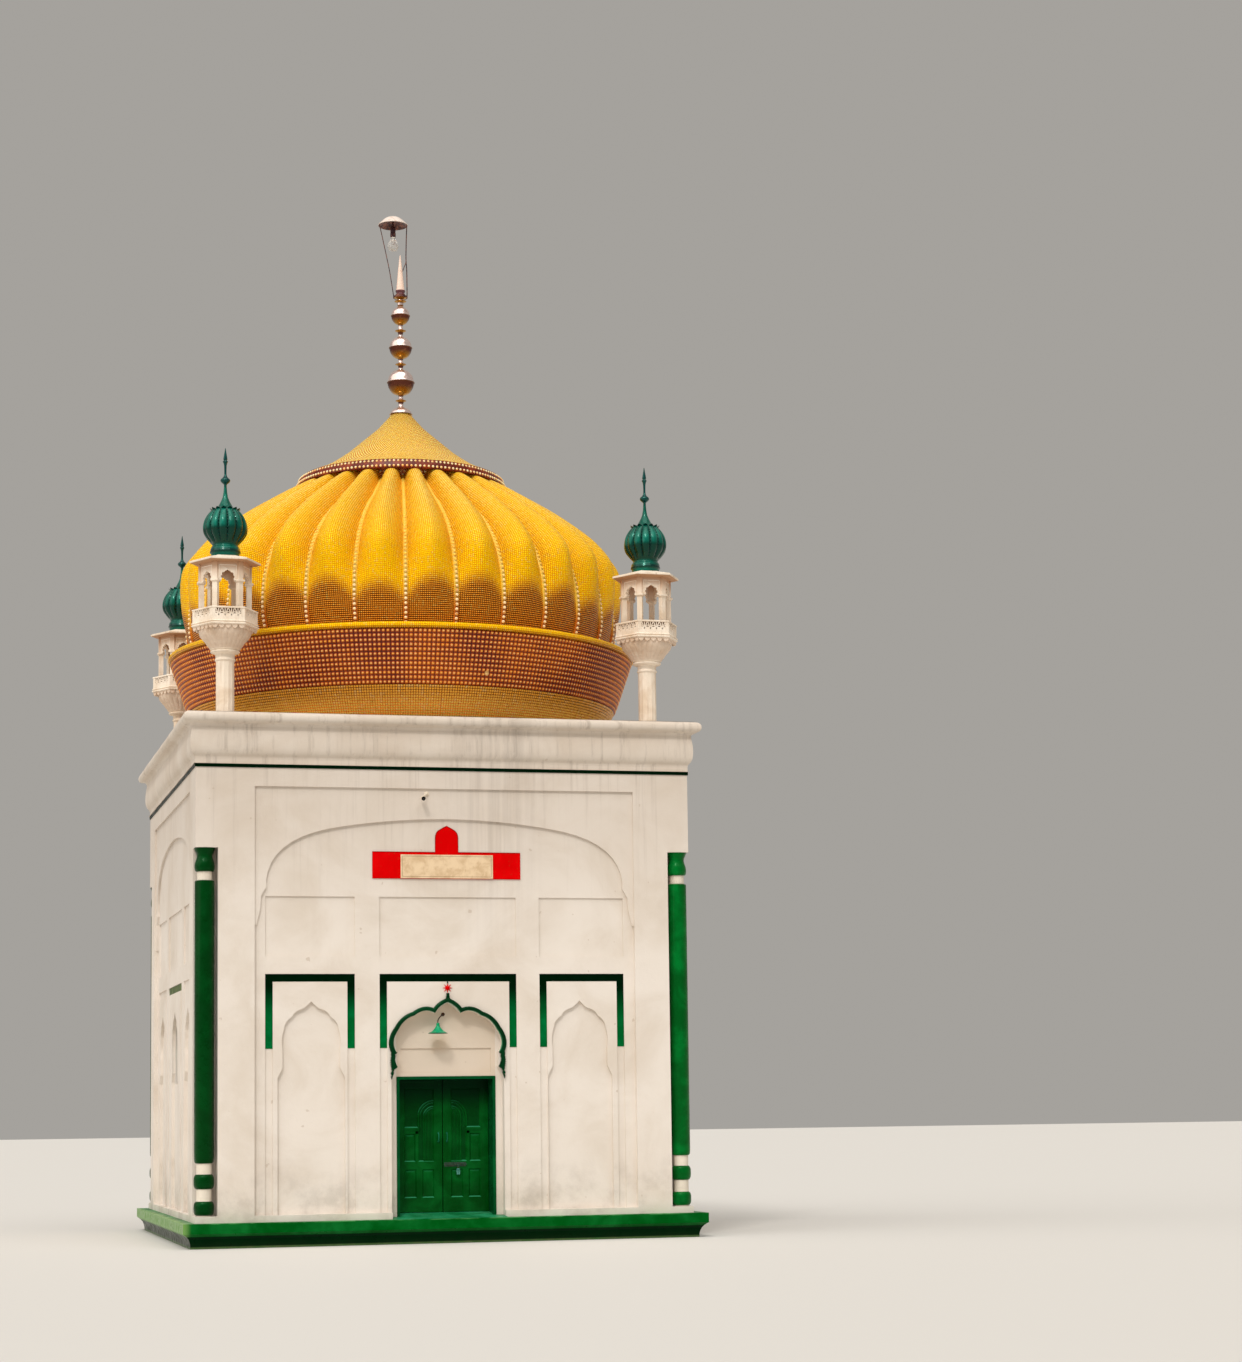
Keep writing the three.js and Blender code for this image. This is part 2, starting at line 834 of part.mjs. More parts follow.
// Bolt on the right leaf, drawn back from the meeting line, with its guides and padlock.
const boltY = LEAF_FACE - GAP;
const boltPieces = [
  box(20, boltY - 6, 1035, 330, boltY, 1095),
  box(12, boltY - 26, 1056, 340, boltY - 12, 1072),
  box(60, boltY - 32, 1046, 84, boltY, 1082),
  box(150, boltY - 32, 1046, 174, boltY, 1082),
  box(260, boltY - 32, 1046, 284, boltY, 1082),
  box(196, boltY - 42, 950, 232, boltY - 22, 1010),
  box(200, boltY - 36, 1000, 206, boltY - 28, 1050),
  box(222, boltY - 36, 1000, 228, boltY - 28, 1050),
  box(200, boltY - 36, 1044, 228, boltY - 12, 1064),
];
add("door_bolt", geometry(wasm.Manifold.union(boltPieces.map(solid))), 0x6f7c72, 0.4, 0.7);

// Green cusped roll round the doorway with its capitals and stem, and the red star on top.
const fieldFace = -HALF + FIELD - GAP;
function onField(outline, thick) {
  const shape = new THREE.Shape(outline.map(([u, z]) => new THREE.Vector2(u, z)));
  const g = new THREE.ExtrudeGeometry(shape, { depth: thick, bevelEnabled: false, curveSegments: 1 });
  return g.rotateX(Math.PI / 2).translate(0, fieldFace, 0);
}
const rollOuter = solid(onField(mirrored(widened(doorHalf, ROLL_HALF)), 45));
const rollInner = solid(onField(mirrored(widened(doorHalf, -ROLL_HALF)), 300).translate(0, 100, 0));
const belowImpost = solid(box(-739, -4000, 2500, 739, -3000, 2640));
const capital = [
  [722, 2625],
  [800, 2625],
  [796, 2560],
  [812, 2520],
  [800, 2470],
  [800, 2420],
  [785, 2380],
  [806, 2290],
  [796, 2250],
  [780, 2300],
  [760, 2390],
  [716, 2420],
  [748, 2500],
  [752, 2600],
];
const stem = rectangle(-22, 3350, 22, 3440);
const rollPieces = [
  rollOuter.subtract(rollInner).subtract(belowImpost),
  solid(onField(capital, 45)),
  solid(onField(capital.map(([u, z]) => [-u, z]).reverse(), 45)),
  solid(onField(stem, 45)),
];
add("arch_roll", geometry(wasm.Manifold.union(rollPieces)), GREEN, 0.3);
const starOutline = [];
for (let i = 0; i < 16; i += 1) {
  const turn = (i / 16) * 2 * Math.PI;
  const r = i % 2 ? 40 : 68;
  starOutline.push([r * Math.sin(turn), 3512 - r * Math.cos(turn)]);
}
add("arch_star", onField(starOutline, 24), RED, 0.5);

// Red name panel with its pointed tab, and the blank plaque on it.
const panelOutline = [
  [-1052, 5035],
  [1052, 5035],
  [1052, 5412],
  [165, 5412],
  [165, 5650],
  [140, 5705],
  [80, 5750],
  [0, 5782],
  [-80, 5750],
  [-140, 5705],
  [-165, 5650],
  [-165, 5412],
  [-1052, 5412],
];
add("red_panel", onField(panelOutline, 12), RED, 0.5);
add("plaque", box(-655, fieldFace - 12 - GAP - 14, 5042, 655, fieldFace - 12 - GAP, 5372), CREAM, 0.5);

// Cone-shade lamp on a bent arm under the doorway arch.
const tympanum = -HALF + FIELD + RECESS - GAP;
const LAMP_Y = tympanum - 210;
const shade = solid(
  turned(
    [
      [0, 2985],
      [24, 2985],
      [120, 2880],
      [128, 2880],
      [128, 2888],
      [30, 3000],
      [22, 3020],
      [0, 3020],
    ],
    16,
  ).translate(-150, LAMP_Y, 0),
);
const arm = solid(rod([-150, LAMP_Y, 3010], [-110, tympanum - 12, 3095], 8));
const rose = solid(box(-135, tympanum - 22, 3070, -85, tympanum, 3120));
add("porch_lamp", geometry(wasm.Manifold.union([shade, arm, rose])), GREEN, 0.3);

// Small watch camera over the wide arch.
const spandrelFace = -HALF + SPANDREL - GAP;
const cameraPieces = [
  solid(box(-365, spandrelFace - 14, 6150, -295, spandrelFace, 6220)),
  solid(box(-340, spandrelFace - 90, 6175, -320, spandrelFace, 6195)),
  solid(box(-362, spandrelFace - 190, 6150, -298, spandrelFace - 60, 6205)),
];
add("facade_camera", geometry(wasm.Manifold.union(cameraPieces)), 0xd8d4cc, 0.5);

// Windows: a frame with a transom and a dark pane, set in the opening of three walls.
const WINDOW_FACE = -HALF + FIELD + NICHE + 45;
function windowBody() {
  const seated = moved(windowHole, 0, 0, 0.999, 2740);
  const shape = new THREE.Shape(seated.map(([u, z]) => new THREE.Vector2(u, z)));
  const plate = new THREE.ExtrudeGeometry(shape, { depth: 70, bevelEnabled: false, curveSegments: 1 });
  const whole = solid(plate.rotateX(Math.PI / 2).translate(0, WINDOW_FACE + 70, 0));
  const clear = moved(windowHole, 0, 0, 0.87, 2740);
  const clearShape = new THREE.Shape(clear.map(([u, z]) => new THREE.Vector2(u, z)));
  const cutter = new THREE.ExtrudeGeometry(clearShape, { depth: 26, bevelEnabled: false, curveSegments: 1 });
  const faceCut = solid(cutter.rotateX(Math.PI / 2).translate(0, WINDOW_FACE + 25, 0));
  const transom = solid(box(-340, WINDOW_FACE + 4, 2668, 340, WINDOW_FACE + 60, 2740));
  return geometry(whole.subtract(faceCut.subtract(transom)));
}
add("window_left", windowBody().rotateZ(-Math.PI / 2), GLASS, 0.2);
add("window_right", windowBody().rotateZ(Math.PI / 2), GLASS, 0.2);
add("window_back", windowBody().rotateZ(Math.PI), GLASS, 0.2);

export default part;
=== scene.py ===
"""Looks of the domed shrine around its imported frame, from the ground up. Metres, +Z up, doorway on -Y."""
import math

import bpy
import numpy as np
from mathutils import Matrix, Vector


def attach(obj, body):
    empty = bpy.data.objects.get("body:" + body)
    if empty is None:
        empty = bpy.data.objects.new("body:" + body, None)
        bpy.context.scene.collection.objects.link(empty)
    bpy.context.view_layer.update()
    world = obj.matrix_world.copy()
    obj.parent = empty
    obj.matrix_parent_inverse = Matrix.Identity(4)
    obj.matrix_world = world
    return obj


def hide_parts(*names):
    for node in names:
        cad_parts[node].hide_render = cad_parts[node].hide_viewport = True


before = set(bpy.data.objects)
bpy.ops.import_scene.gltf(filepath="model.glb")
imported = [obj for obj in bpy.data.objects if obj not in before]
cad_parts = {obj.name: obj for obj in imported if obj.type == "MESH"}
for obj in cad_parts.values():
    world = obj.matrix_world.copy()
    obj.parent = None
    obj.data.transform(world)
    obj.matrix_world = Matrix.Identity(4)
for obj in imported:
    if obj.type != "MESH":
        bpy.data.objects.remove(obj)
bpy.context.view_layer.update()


# Picture: camera and soft studio light.
# The camera stands where the photograph was taken from, about 42 m away and 1.8 m above the ground, and
# looks up and to its right. The light is soft, as from a bright overcast sky, with one crisper sun.
EYE = Vector((-7.435, -41.557, 1.759))
YAW, PITCH, ROLL = math.radians(14.65), math.radians(6.0), math.radians(-0.767)
LENS_MM = 73.5
LENS_SHIFT = 0.102
ahead = Vector((math.sin(YAW) * math.cos(PITCH), math.cos(YAW) * math.cos(PITCH), math.sin(PITCH)))
level = Vector((math.cos(YAW), -math.sin(YAW), 0))
over = level.cross(ahead)
side_axis = level * math.cos(ROLL) + over * math.sin(ROLL)
top_axis = over * math.cos(ROLL) - level * math.sin(ROLL)
camera = bpy.data.objects.new("camera", bpy.data.cameras.new("camera"))
bpy.context.scene.collection.objects.link(camera)
camera.matrix_world = Matrix.Translation(EYE) @ Matrix((side_axis, top_axis, -ahead)).transposed().to_4x4()
camera.data.lens = LENS_MM
camera.data.shift_y = LENS_SHIFT
camera.data.clip_end = 500
bpy.context.scene.camera = camera
bpy.context.scene.view_settings.view_transform = "Standard"

SKY_STRENGTH = 0.4
SUNS = (
    ("sky_left", 0.9, 60, (0.8, 0.2, -0.55)),
    ("sky_high", 1.6, 60, (0.05, 0.45, -0.89)),
    ("crisp_key", 0.95, 9, (0.32, 0.62, -0.72)),
)
world = bpy.data.worlds.new("studio")
bpy.context.scene.world = world
world.use_nodes = True
world.node_tree.nodes["Background"].inputs["Color"].default_value = (0.94, 0.9, 0.84, 1)
world.node_tree.nodes["Background"].inputs["Strength"].default_value = SKY_STRENGTH
for lamp_name, power, spread, heading in SUNS:
    light = bpy.data.lights.new(lamp_name, "SUN")
    light.energy = power
    light.angle = math.radians(spread)
    light.color = (1.0, 0.965, 0.92)
    lamp_object = bpy.data.objects.new(lamp_name, light)
    lamp_object.rotation_euler = Vector(heading).to_track_quat("-Z", "Y").to_euler()
    bpy.context.scene.collection.objects.link(lamp_object)


def part_mesh(name, points, faces):
    """Mesh of corner points (n, 3) and of face arrays, each of (m, k) corner numbers for m faces of k
    corners."""
    mesh = bpy.data.meshes.new(name)
    faces = [np.asarray(f, np.int32) for f in faces if len(f)]
    corners = np.concatenate([f.ravel() for f in faces])
    sizes = np.concatenate([np.full(len(f), f.shape[1]) for f in faces])
    mesh.vertices.add(len(points))
    mesh.vertices.foreach_set("co", np.asarray(points, np.float32).ravel())
    mesh.loops.add(len(corners))
    mesh.loops.foreach_set("vertex_index", corners)
    mesh.polygons.add(len(sizes))
    mesh.polygons.foreach_set("loop_start", np.concatenate([[0], np.cumsum(sizes)[:-1]]).astype(np.int32))
    mesh.update(calc_edges=True)
    mesh.validate()
    return mesh


def tint(red, green, blue):
    """Colour from 0 to 255 as the eye reads it, made linear for a shader."""
    c = np.array([red, green, blue]) / 255
    return (*np.where(c < 0.04045, c / 12.92, ((c + 0.055) / 1.055) ** 2.4), 1)


def sockets(material):
    """The inputs of the material's principled shader."""
    return material.node_tree.nodes["Principled BSDF"].inputs


def finish(name, roughness, metallic=0.0, coat=0.0, shine=0.5):
    """Material with a principled shader whose steady values sit on its own sockets."""
    material = bpy.data.materials.new(name)
    material.use_nodes = True
    shader = sockets(material)
    shader["Roughness"].default_value = roughness
    shader["Metallic"].default_value = metallic
    shader["Coat Weight"].default_value = coat
    shader["Coat Roughness"].default_value = 0.15
    shader["Specular IOR Level"].default_value = shine
    return material


# Floor: one wide pale sheet.
FLOOR_REACH = 220
floor_points = np.array([[-1, -1, 0], [1, -1, 0], [1, 1, 0], [-1, 1, 0]]) * FLOOR_REACH
floor = bpy.data.objects.new("studio_floor", part_mesh("studio_floor", floor_points, [[[0, 1, 2, 3]]]))
bpy.context.scene.collection.objects.link(floor)
pale = finish("studio_floor", 0.75)
sockets(pale)["Base Color"].default_value = tint(214, 211, 206)
floor.data.materials.append(pale)


# Plinth.
# Brick and mortar kerb, rendered smooth and painted glossy green: a square band on a hollow curve.
# The paint is thin on the top edge, where paler patches are partly wear and partly painted highlight,
# and splashed grey along the foot.
def wire(material, kind, inputs, out=0, **settings):
    """Adds a node. A socket given as an input is linked, and anything else is set. Returns one output."""
    made = material.node_tree.nodes.new("ShaderNode" + kind)
    for key, value in settings.items():
        setattr(made, key, value)
    for key, value in inputs.items():
        if isinstance(value, bpy.types.NodeSocket):
            material.node_tree.links.new(value, made.inputs[key])
        else:
            made.inputs[key].default_value = value
    return made.outputs[out]


def place(material, scale=(1, 1, 1), turn=(0, 0, 0), shift=(0, 0, 0)):
    """Object coordinates, scaled, turned and shifted."""
    where = wire(material, "TexCoord", {}, "Object")
    return wire(material, "Mapping", {"Vector": where, "Scale": scale, "Rotation": turn, "Location": shift})


def noise(material, where, scale, detail=4.0, rough=0.55, warp=0.0):
    """Clouds of the given scale, finer with each step of detail."""
    settings = {"Vector": where, "Scale": scale, "Detail": detail, "Roughness": rough, "Distortion": warp}
    return wire(material, "TexNoise", settings)


def reckon(material, how, a, b=0.0, c=0.0):
    """One step of arithmetic on values or numbers."""
    return wire(material, "Math", {0: a, 1: b, 2: c}, operation=how)


def times(material, a, b):
    """Product of two values or numbers."""
    return reckon(material, "MULTIPLY", a, b)


def plus(material, a, b):
    """Sum of two values or numbers."""
    return reckon(material, "ADD", a, b)


def axis(material, where, k):
    """One coordinate of a place: 0 across, 1 deep, 2 up."""
    return wire(material, "SeparateXYZ", {"Vector": where}, k)


def marked(material, name):
    """The numbers that a piece's points or corners carry under a name."""
    return wire(material, "Attribute", {}, "Fac", attribute_name=name)


def span(material, value, low, high, to_low=0.0, to_high=1.0):
    """Eases a value from one range to another, held at both ends."""
    given = {"Value": value, "From Min": low, "From Max": high, "To Min": to_low, "To Max": to_high}
    return wire(material, "MapRange", given, interpolation_type="SMOOTHSTEP")


def patches(material, where, low, high, *kind):
    """Soft-edged patches: 0 where the noise is under low, 1 where it is over high."""
    return span(material, noise(material, where, *kind), low, high)


def layer(material, share, under, on_top, strength=1.0):
    """Colour under, covered by colour on_top to the given share times the strength."""
    if strength != 1.0:
        share = times(material, share, strength)
    return wire(material, "Mix", {0: share, 6: under, 7: on_top}, 2, data_type="RGBA")


def use(material, socket, value):
    """Links a value to the shader."""
    material.node_tree.links.new(value, sockets(material)[socket])


def coloured(material, colour):
    """Links a colour to the shader."""
    use(material, "Base Color", colour)


def relief(material, height, depth, strength=1.0):
    """Bump of the given depth in metres."""
    use(
        material, "Normal",
        wire(material, "Bump", {"Height": height, "Distance": depth, "Strength": strength})
    )


def gloss_paint(name, deep, worn, roughness=0.34, coat=0.0, shine=0.22, glint=tint(30, 190, 110)):
    """Brushed gloss paint: patches of deep and worn colour, brush lines, pin-holes and dull spots. The
    gloss itself is tinted by glint, so that deep colours stay deep."""
    paint = finish(name, roughness, coat=coat, shine=shine)
    sockets(paint)["Specular Tint"].default_value = glint
    here = place(paint)
    cloudy = patches(paint, here, 0.38, 0.72, 2.3, 6, 0.62, 0.4)
    specks = patches(paint, here, 0.63, 0.72, 46, 3)
    colour = layer(paint, cloudy, deep, worn)
    colour = layer(paint, specks, colour, tint(40, 100, 56), 0.25)
    coloured(paint, colour)
    use(
        paint, "Roughness",
        span(paint, noise(paint, here, 9, 5), 0.3, 0.75, roughness - 0.08, roughness + 0.22)
    )
    brushed = noise(paint, place(paint, (14, 14, 90)), 1.0, 5)
    relief(paint, brushed, 0.0025, 0.5)
    return paint, here, colour


def cad_finish(material, *nodes):
    """Gives CAD nodes a material in place of their packed one."""
    for n in nodes:
        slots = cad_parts[n].data.materials
        slots.clear()
        slots.append(material)


kerb_paint, here, colour = gloss_paint("plinth_green_paint", tint(0, 78, 16), tint(14, 104, 40))
PLINTH_TOP = 0.34
BAND_FOOT = 0.168  # lower edge of the square band, over the hollow
FOOT_TOP = 0.028
LEFT_SIDE = -3.665  # the plinth's sunlit left end, made paler by painted light
HALL_HALF = 2.945  # half of the hall, whose floor is lime
height = axis(kerb_paint, here, 2)
splash = times(kerb_paint, span(kerb_paint, height, 0.0, 0.16, 1, 0), noise(kerb_paint, here, 7, 6))
colour = layer(kerb_paint, splash, colour, tint(104, 108, 78), 1.1)
# Paler patches along the top arris: partly worn paint, partly a painted highlight.
arris = span(kerb_paint, height, PLINTH_TOP - 0.018, PLINTH_TOP - 0.001)
worn = times(kerb_paint, arris, patches(kerb_paint, here, 0.4, 0.6, 5, 6))
colour = layer(kerb_paint, worn, colour, tint(96, 168, 104), 0.55)
# Painted light: the sunlit left end of the plinth is tinted a paler yellow-green.
left_end_painted_light = span(kerb_paint, axis(kerb_paint, here, 0), LEFT_SIDE + 0.115, LEFT_SIDE)
colour = layer(kerb_paint, left_end_painted_light, colour, tint(132, 172, 96), 0.7)
# Painted shade: the hollow under the band is coloured nearly black.
under_band = span(kerb_paint, height, BAND_FOOT + 0.008, BAND_FOOT - 0.008)
hollow = times(kerb_paint, under_band, span(kerb_paint, height, FOOT_TOP - 0.008, FOOT_TOP + 0.007))
colour = layer(kerb_paint, hollow, colour, tint(0, 14, 2), 0.93)
from_axis = wire(kerb_paint, "VectorMath", {0: here}, 0, operation="ABSOLUTE")
reach_x, reach_y = [axis(kerb_paint, from_axis, k) for k in (0, 1)]
reach = reckon(kerb_paint, "MAXIMUM", reach_x, reach_y)
indoors = span(kerb_paint, reach, HALL_HALF + 0.015, HALL_HALF - 0.015)
coloured(kerb_paint, layer(kerb_paint, indoors, colour, tint(176, 168, 154)))
cad_finish(kerb_paint, "plinth")


# Walls and roof.
# Brick walls in lime plaster under many coats of warm white wash. Rain has drawn grey streaks down
# from the cornice, most of all right of the doorway, and dust has settled low on the sunk panels.
STAIN_X, STAIN_HALF = 0.7, 0.9  # rain streak right of the doorway: its middle and half width
DEEP = -3.33  # what lies behind this depth is inside the doorway's recess
LAMP_SHADOW_AT = (-0.095, 0, 2.735)
WALL_WHITE, WALL_SHADE, WALL_GRIME = tint(230, 221, 211), tint(216, 204, 190), tint(146, 132, 120)


def plaster(name, clean, shade, grime, streaks=0.5, recess_shade=None):
    """Whitewash: soft clouds of shade, trowel waves, hanging streaks of grime and a dusty foot. What lies
    deep in the doorway takes a painted shade colour, with a painted shadow under the lamp."""
    wash = finish(name, 0.82)
    here = place(wash)
    across, deep, height = [axis(wash, here, k) for k in range(3)]
    clouds = patches(wash, here, 0.35, 0.75, 0.9, 7, 0.6, 0.6)
    colour = layer(wash, clouds, clean, shade)
    drips = patches(wash, place(wash, (11, 11, 0.32)), 0.5, 0.8, 1.0, 5, 0.7)
    below = span(wash, height, 4.2, 7.1)
    fall = times(wash, times(wash, drips, below), streaks)
    colour = layer(wash, fall, colour, grime)
    colour = layer(wash, span(wash, height, 4.0, 6.3, 0.0, 0.3), colour, tint(176, 158, 140))
    offset = reckon(wash, "ABSOLUTE", reckon(wash, "SUBTRACT", across, STAIN_X))
    front = span(wash, deep, -3.2, -3.35)
    stain = times(wash, span(wash, offset, STAIN_HALF, 0.05), front)
    stain = times(wash, stain, span(wash, height, 3.4, 6.6))
    wide_drips = patches(wash, place(wash, (7, 7, 0.2)), 0.3, 0.75, 1.0, 6, 0.65)
    stain = times(wash, times(wash, stain, wide_drips), 0.4)
    colour = layer(wash, stain, colour, grime)
    foot = times(wash, span(wash, height, 1.5, 0.35), patches(wash, here, 0.42, 0.72, 2.1, 7, 0.65))
    colour = layer(wash, foot, colour, grime, 0.4)
    if recess_shade:
        # Painted shade: the doorway's recess is made warmer and darker.
        recess = span(wash, deep, DEEP, DEEP + 0.03)
        colour = layer(wash, recess, colour, recess_shade, 0.6)
        # Painted shadow of the porch lamp: a soft ochre patch on the recess wall below it.
        flat = place(wash, (1, 0, 1))
        away = wire(wash, "VectorMath", {0: flat, 1: LAMP_SHADOW_AT}, "Value", operation="DISTANCE")
        away = plus(wash, away, reckon(wash, "MULTIPLY_ADD", noise(wash, here, 9, 4), 0.16, -0.08))
        lamp_shadow = times(wash, span(wash, away, 0.2, 0.02, 0, 0.3), recess)
        colour = layer(wash, lamp_shadow, colour, tint(178, 138, 84))
    knocks = patches(wash, here, 0.75, 0.78, 9.5, 2, 0.4)
    colour = layer(wash, knocks, colour, tint(170, 146, 120), 0.35)
    coloured(wash, colour)
    waves = times(wash, noise(wash, here, 1.7, 3), 6.0)
    grain = noise(wash, here, 42, 6, 0.7)
    relief(wash, plus(wash, waves, grain), 0.004, 0.6)
    return wash


wall_wash = plaster("wall_whitewash", WALL_WHITE, WALL_SHADE, WALL_GRIME)
cad_finish(wall_wash, "wall_front_left", "wall_front_right", "wall_back", "wall_left", "wall_right")
porch_wash = plaster("porch_whitewash", WALL_WHITE, WALL_SHADE, WALL_GRIME, recess_shade=tint(210, 190, 166))
cad_finish(porch_wash, "wall_front_over_door")
roof_wash = plaster("roof_lime", tint(206, 198, 184), tint(176, 166, 150), tint(110, 104, 96), 0.0)
cad_finish(roof_wash, "roof")


# Painted borders.
# Flat bands of green gloss laid in the grooves that frame each bay: an upturned U with legs that stop
# halfway on the front, and on the other faces a single olive band over the middle bay.
GROOVE = 0.105
GROOVE_TOP, LEG_END = 3.7095, 2.685
BAYS = ((-2.54, -1.3), (-0.955, 0.983), (1.315, 2.537))
GROOVE_FLOOR = -3.415
PAINT_THICK = 0.0065
AIR = 0.002  # between a band and the sides of its groove


def prism(outline, front, back):
    """Outline of (across, height) points, counter-clockwise, as a slab between two planes of constant Y."""
    u, z = np.asarray(outline, float).T
    n = len(u)
    points = np.concatenate([np.stack([u, np.full(n, y), z], 1) for y in (front, back)])
    i = np.arange(n)
    j = (i + 1) % n
    return points, [np.stack([i + n, j + n, j, i], 1), i[None, :], (i[::-1] + n)[None, :]]


def turn_face(part, quarter):
    """Turns a piece made for the -Y face by quarter turns: 0 front, 1 right, 2 back, 3 left."""
    points, faces = part
    c, s = ((1, 0), (0, 1), (-1, 0), (0, -1))[quarter]
    return points @ np.array([[c, s, 0], [-s, c, 0], [0, 0, 1]]), faces


def soften(piece, width, segments=2, angle=30):
    """Rounds a piece's edges."""
    bevel = piece.modifiers.new("soft_edges", "BEVEL")
    bevel.width = width
    bevel.segments = segments
    bevel.angle_limit = math.radians(angle)
    bevel.harden_normals = True
    return piece


def ride_piece(name, parts, material, body="building", stands_for=(), crease=35, marks=None):
    """One object from several (points, faces) parts, smooth up to the crease angle. marks holds named
    numbers, one for each point or for each corner of each face, that the material reads."""
    starts = np.cumsum([0] + [len(p) for p, _ in parts])
    points = np.concatenate([p for p, _ in parts])
    faces = [f + s for (_, fs), s in zip(parts, starts) for f in fs if len(f)]
    mesh = part_mesh(name, points, faces)
    mesh.shade_smooth()
    mesh.set_sharp_from_angle(angle=math.radians(crease))
    for key, values in (marks or {}).items():
        mark = mesh.attributes.new(key, "FLOAT", "POINT" if len(values) == len(points) else "CORNER")
        mark.data.foreach_set("value", np.asarray(values, np.float32))
    mesh.materials.append(material)
    piece = bpy.data.objects.new(name, mesh)
    bpy.context.scene.collection.objects.link(piece)
    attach(piece, body)
    if stands_for:
        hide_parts(*stands_for)
    return piece


border_paint, here, colour = gloss_paint("border_green_paint", tint(0, 88, 36), tint(0, 116, 58))
height = axis(border_paint, here, 2)
# Painted shade: the bands darken towards the groove's top, where its edge shades them.
shaded = span(border_paint, height, 3.0, 3.56)
coloured(border_paint, layer(border_paint, shaded, colour, tint(0, 12, 2)))
BAND_LOW, BAND_HIGH = GROOVE_TOP - GROOVE, GROOVE_TOP - AIR
LAID = (GROOVE_FLOOR - 0.0005 - PAINT_THICK, GROOVE_FLOOR - 0.0005)
borders = []
for left, right in BAYS:
    outer_left, inner_left = left + AIR, left + GROOVE - AIR
    inner_right, outer_right = right - GROOVE + AIR, right - AIR
    upturned_u = [
        (outer_left, LEG_END), (inner_left, LEG_END), (inner_left, BAND_LOW), (inner_right, BAND_LOW),
        (inner_right, LEG_END), (outer_right, LEG_END), (outer_right, BAND_HIGH), (outer_left, BAND_HIGH),
    ]
    borders.append(prism(upturned_u, *LAID))
soften(ride_piece("front_borders", borders, border_paint), 0.003)
olive_paint, _, _ = gloss_paint("border_olive_paint", tint(64, 84, 30), tint(98, 112, 46), 0.4)
left, right = BAYS[1]
flat_band = [
    (left + AIR, BAND_LOW), (right - AIR, BAND_LOW), (right - AIR, BAND_HIGH), (left + AIR, BAND_HIGH)
]
top_bands = [turn_face(prism(flat_band, *LAID), quarter) for quarter in (1, 2, 3)]
soften(ride_piece("side_borders", top_bands, olive_paint), 0.003)


# Corner columns.
# Round engaged shafts cast in plaster in the corner notches, two loose beads under each and a bell
# capital above, all in the same dark green gloss, on a white core.
COLUMN_AT = 3.36


def curve_through(stations, steps):
    """Smooth line through the stations (Catmull-Rom): between two of them the line leaves and arrives
    along the chord of their neighbours. Repeated stations make a corner."""
    p = np.asarray(stations, float)
    p = np.concatenate([[2 * p[0] - p[1]], p, [2 * p[-1] - p[-2]]])
    t = np.linspace(0, 1, steps, endpoint=False)[:, None, None]
    a, b, c, d = p[:-3], p[1:-2], p[2:-1], p[3:]
    line = 0.5 * (2 * b + (c - a) * t + (2 * a - 5 * b + 4 * c - d) * t**2 + (3 * b - a - 3 * c + d) * t**3)
    line = np.concatenate([line.transpose(1, 0, 2).reshape(-1, p.shape[1]), p[-2:-1]])
    apart = np.linalg.norm(np.diff(line, axis=0), axis=1) > 1e-6
    return line[np.concatenate([[True], apart])]


def grid_quads(rows, cols, wrap_rows=False, wrap_cols=True):
    """Faces of a grid of points, columns first, closed round where it wraps."""
    i = np.arange(rows if wrap_rows else rows - 1)[:, None]
    j = np.arange(cols if wrap_cols else cols - 1)[None, :]
    near, far = i * cols, (i + 1) % rows * cols
    ahead_one = (j + 1) % cols
    return np.stack([near + j, near + ahead_one, far + ahead_one, far + j], -1).reshape(-1, 4)


def end_faces(rows, cols):
    """The two faces that close the ends of a grid of points."""
    ring = np.arange(cols)[None, :]
    return [ring[:, ::-1], ring + (rows - 1) * cols]


def turned(profile, count, at=(0, 0), start=0.0, ring=False, swell=None):
    """Profile of (radius, height) from the bottom up, carried round the Z axis; a radius of 0 at an end is
    a single pole point. swell(angles, profile) gives a factor for each point of the surface."""
    profile = np.asarray(profile, float)
    low_pole, high_pole = (profile[0, 0] < 1e-6, profile[-1, 0] < 1e-6) if not ring else (False, False)
    body = profile[int(low_pole): len(profile) - int(high_pole)]
    angle = start + np.arange(count) / count * 2 * math.pi
    radius = body[:, :1] * (swell(angle[None, :], body) if swell else np.ones((1, count)))
    points = np.stack([
        radius * np.sin(angle) + at[0], at[1] - radius * np.cos(angle), np.repeat(body[:, 1:], count, 1)
    ], -1)
    points = points.reshape(-1, 3)
    faces = [grid_quads(len(body), count, wrap_rows=ring)]
    j = np.arange(count)
    k = (j + 1) % count
    if low_pole:
        faces.append(np.stack([k, j, np.full(count, len(points))], 1))
        points = np.concatenate([points, [[*at, profile[0, 1]]]])
    if high_pole:
        last = (len(body) - 1) * count
        faces.append(np.stack([last + j, last + k, np.full(count, len(points))], 1))
        points = np.concatenate([points, [[*at, profile[-1, 1]]]])
    return points, faces


CORNERS = (("front_left", -1, -1), ("front_right", 1, -1), ("back_left", -1, 1), ("back_right", 1, 1))
CORE_R = 0.1
BEADS = ((0.44, 0.634), (0.795, 0.998))


def column_bead(low, high):
    """Outline of a fat ring on the core between two heights."""
    belly = [(0.122, low + 0.014), (0.138, low + 0.056), (0.138, high - 0.056), (0.122, high - 0.014)]
    return curve_through([(CORE_R, low), (CORE_R, low), *belly, (CORE_R, high), (CORE_R, high)], 5)


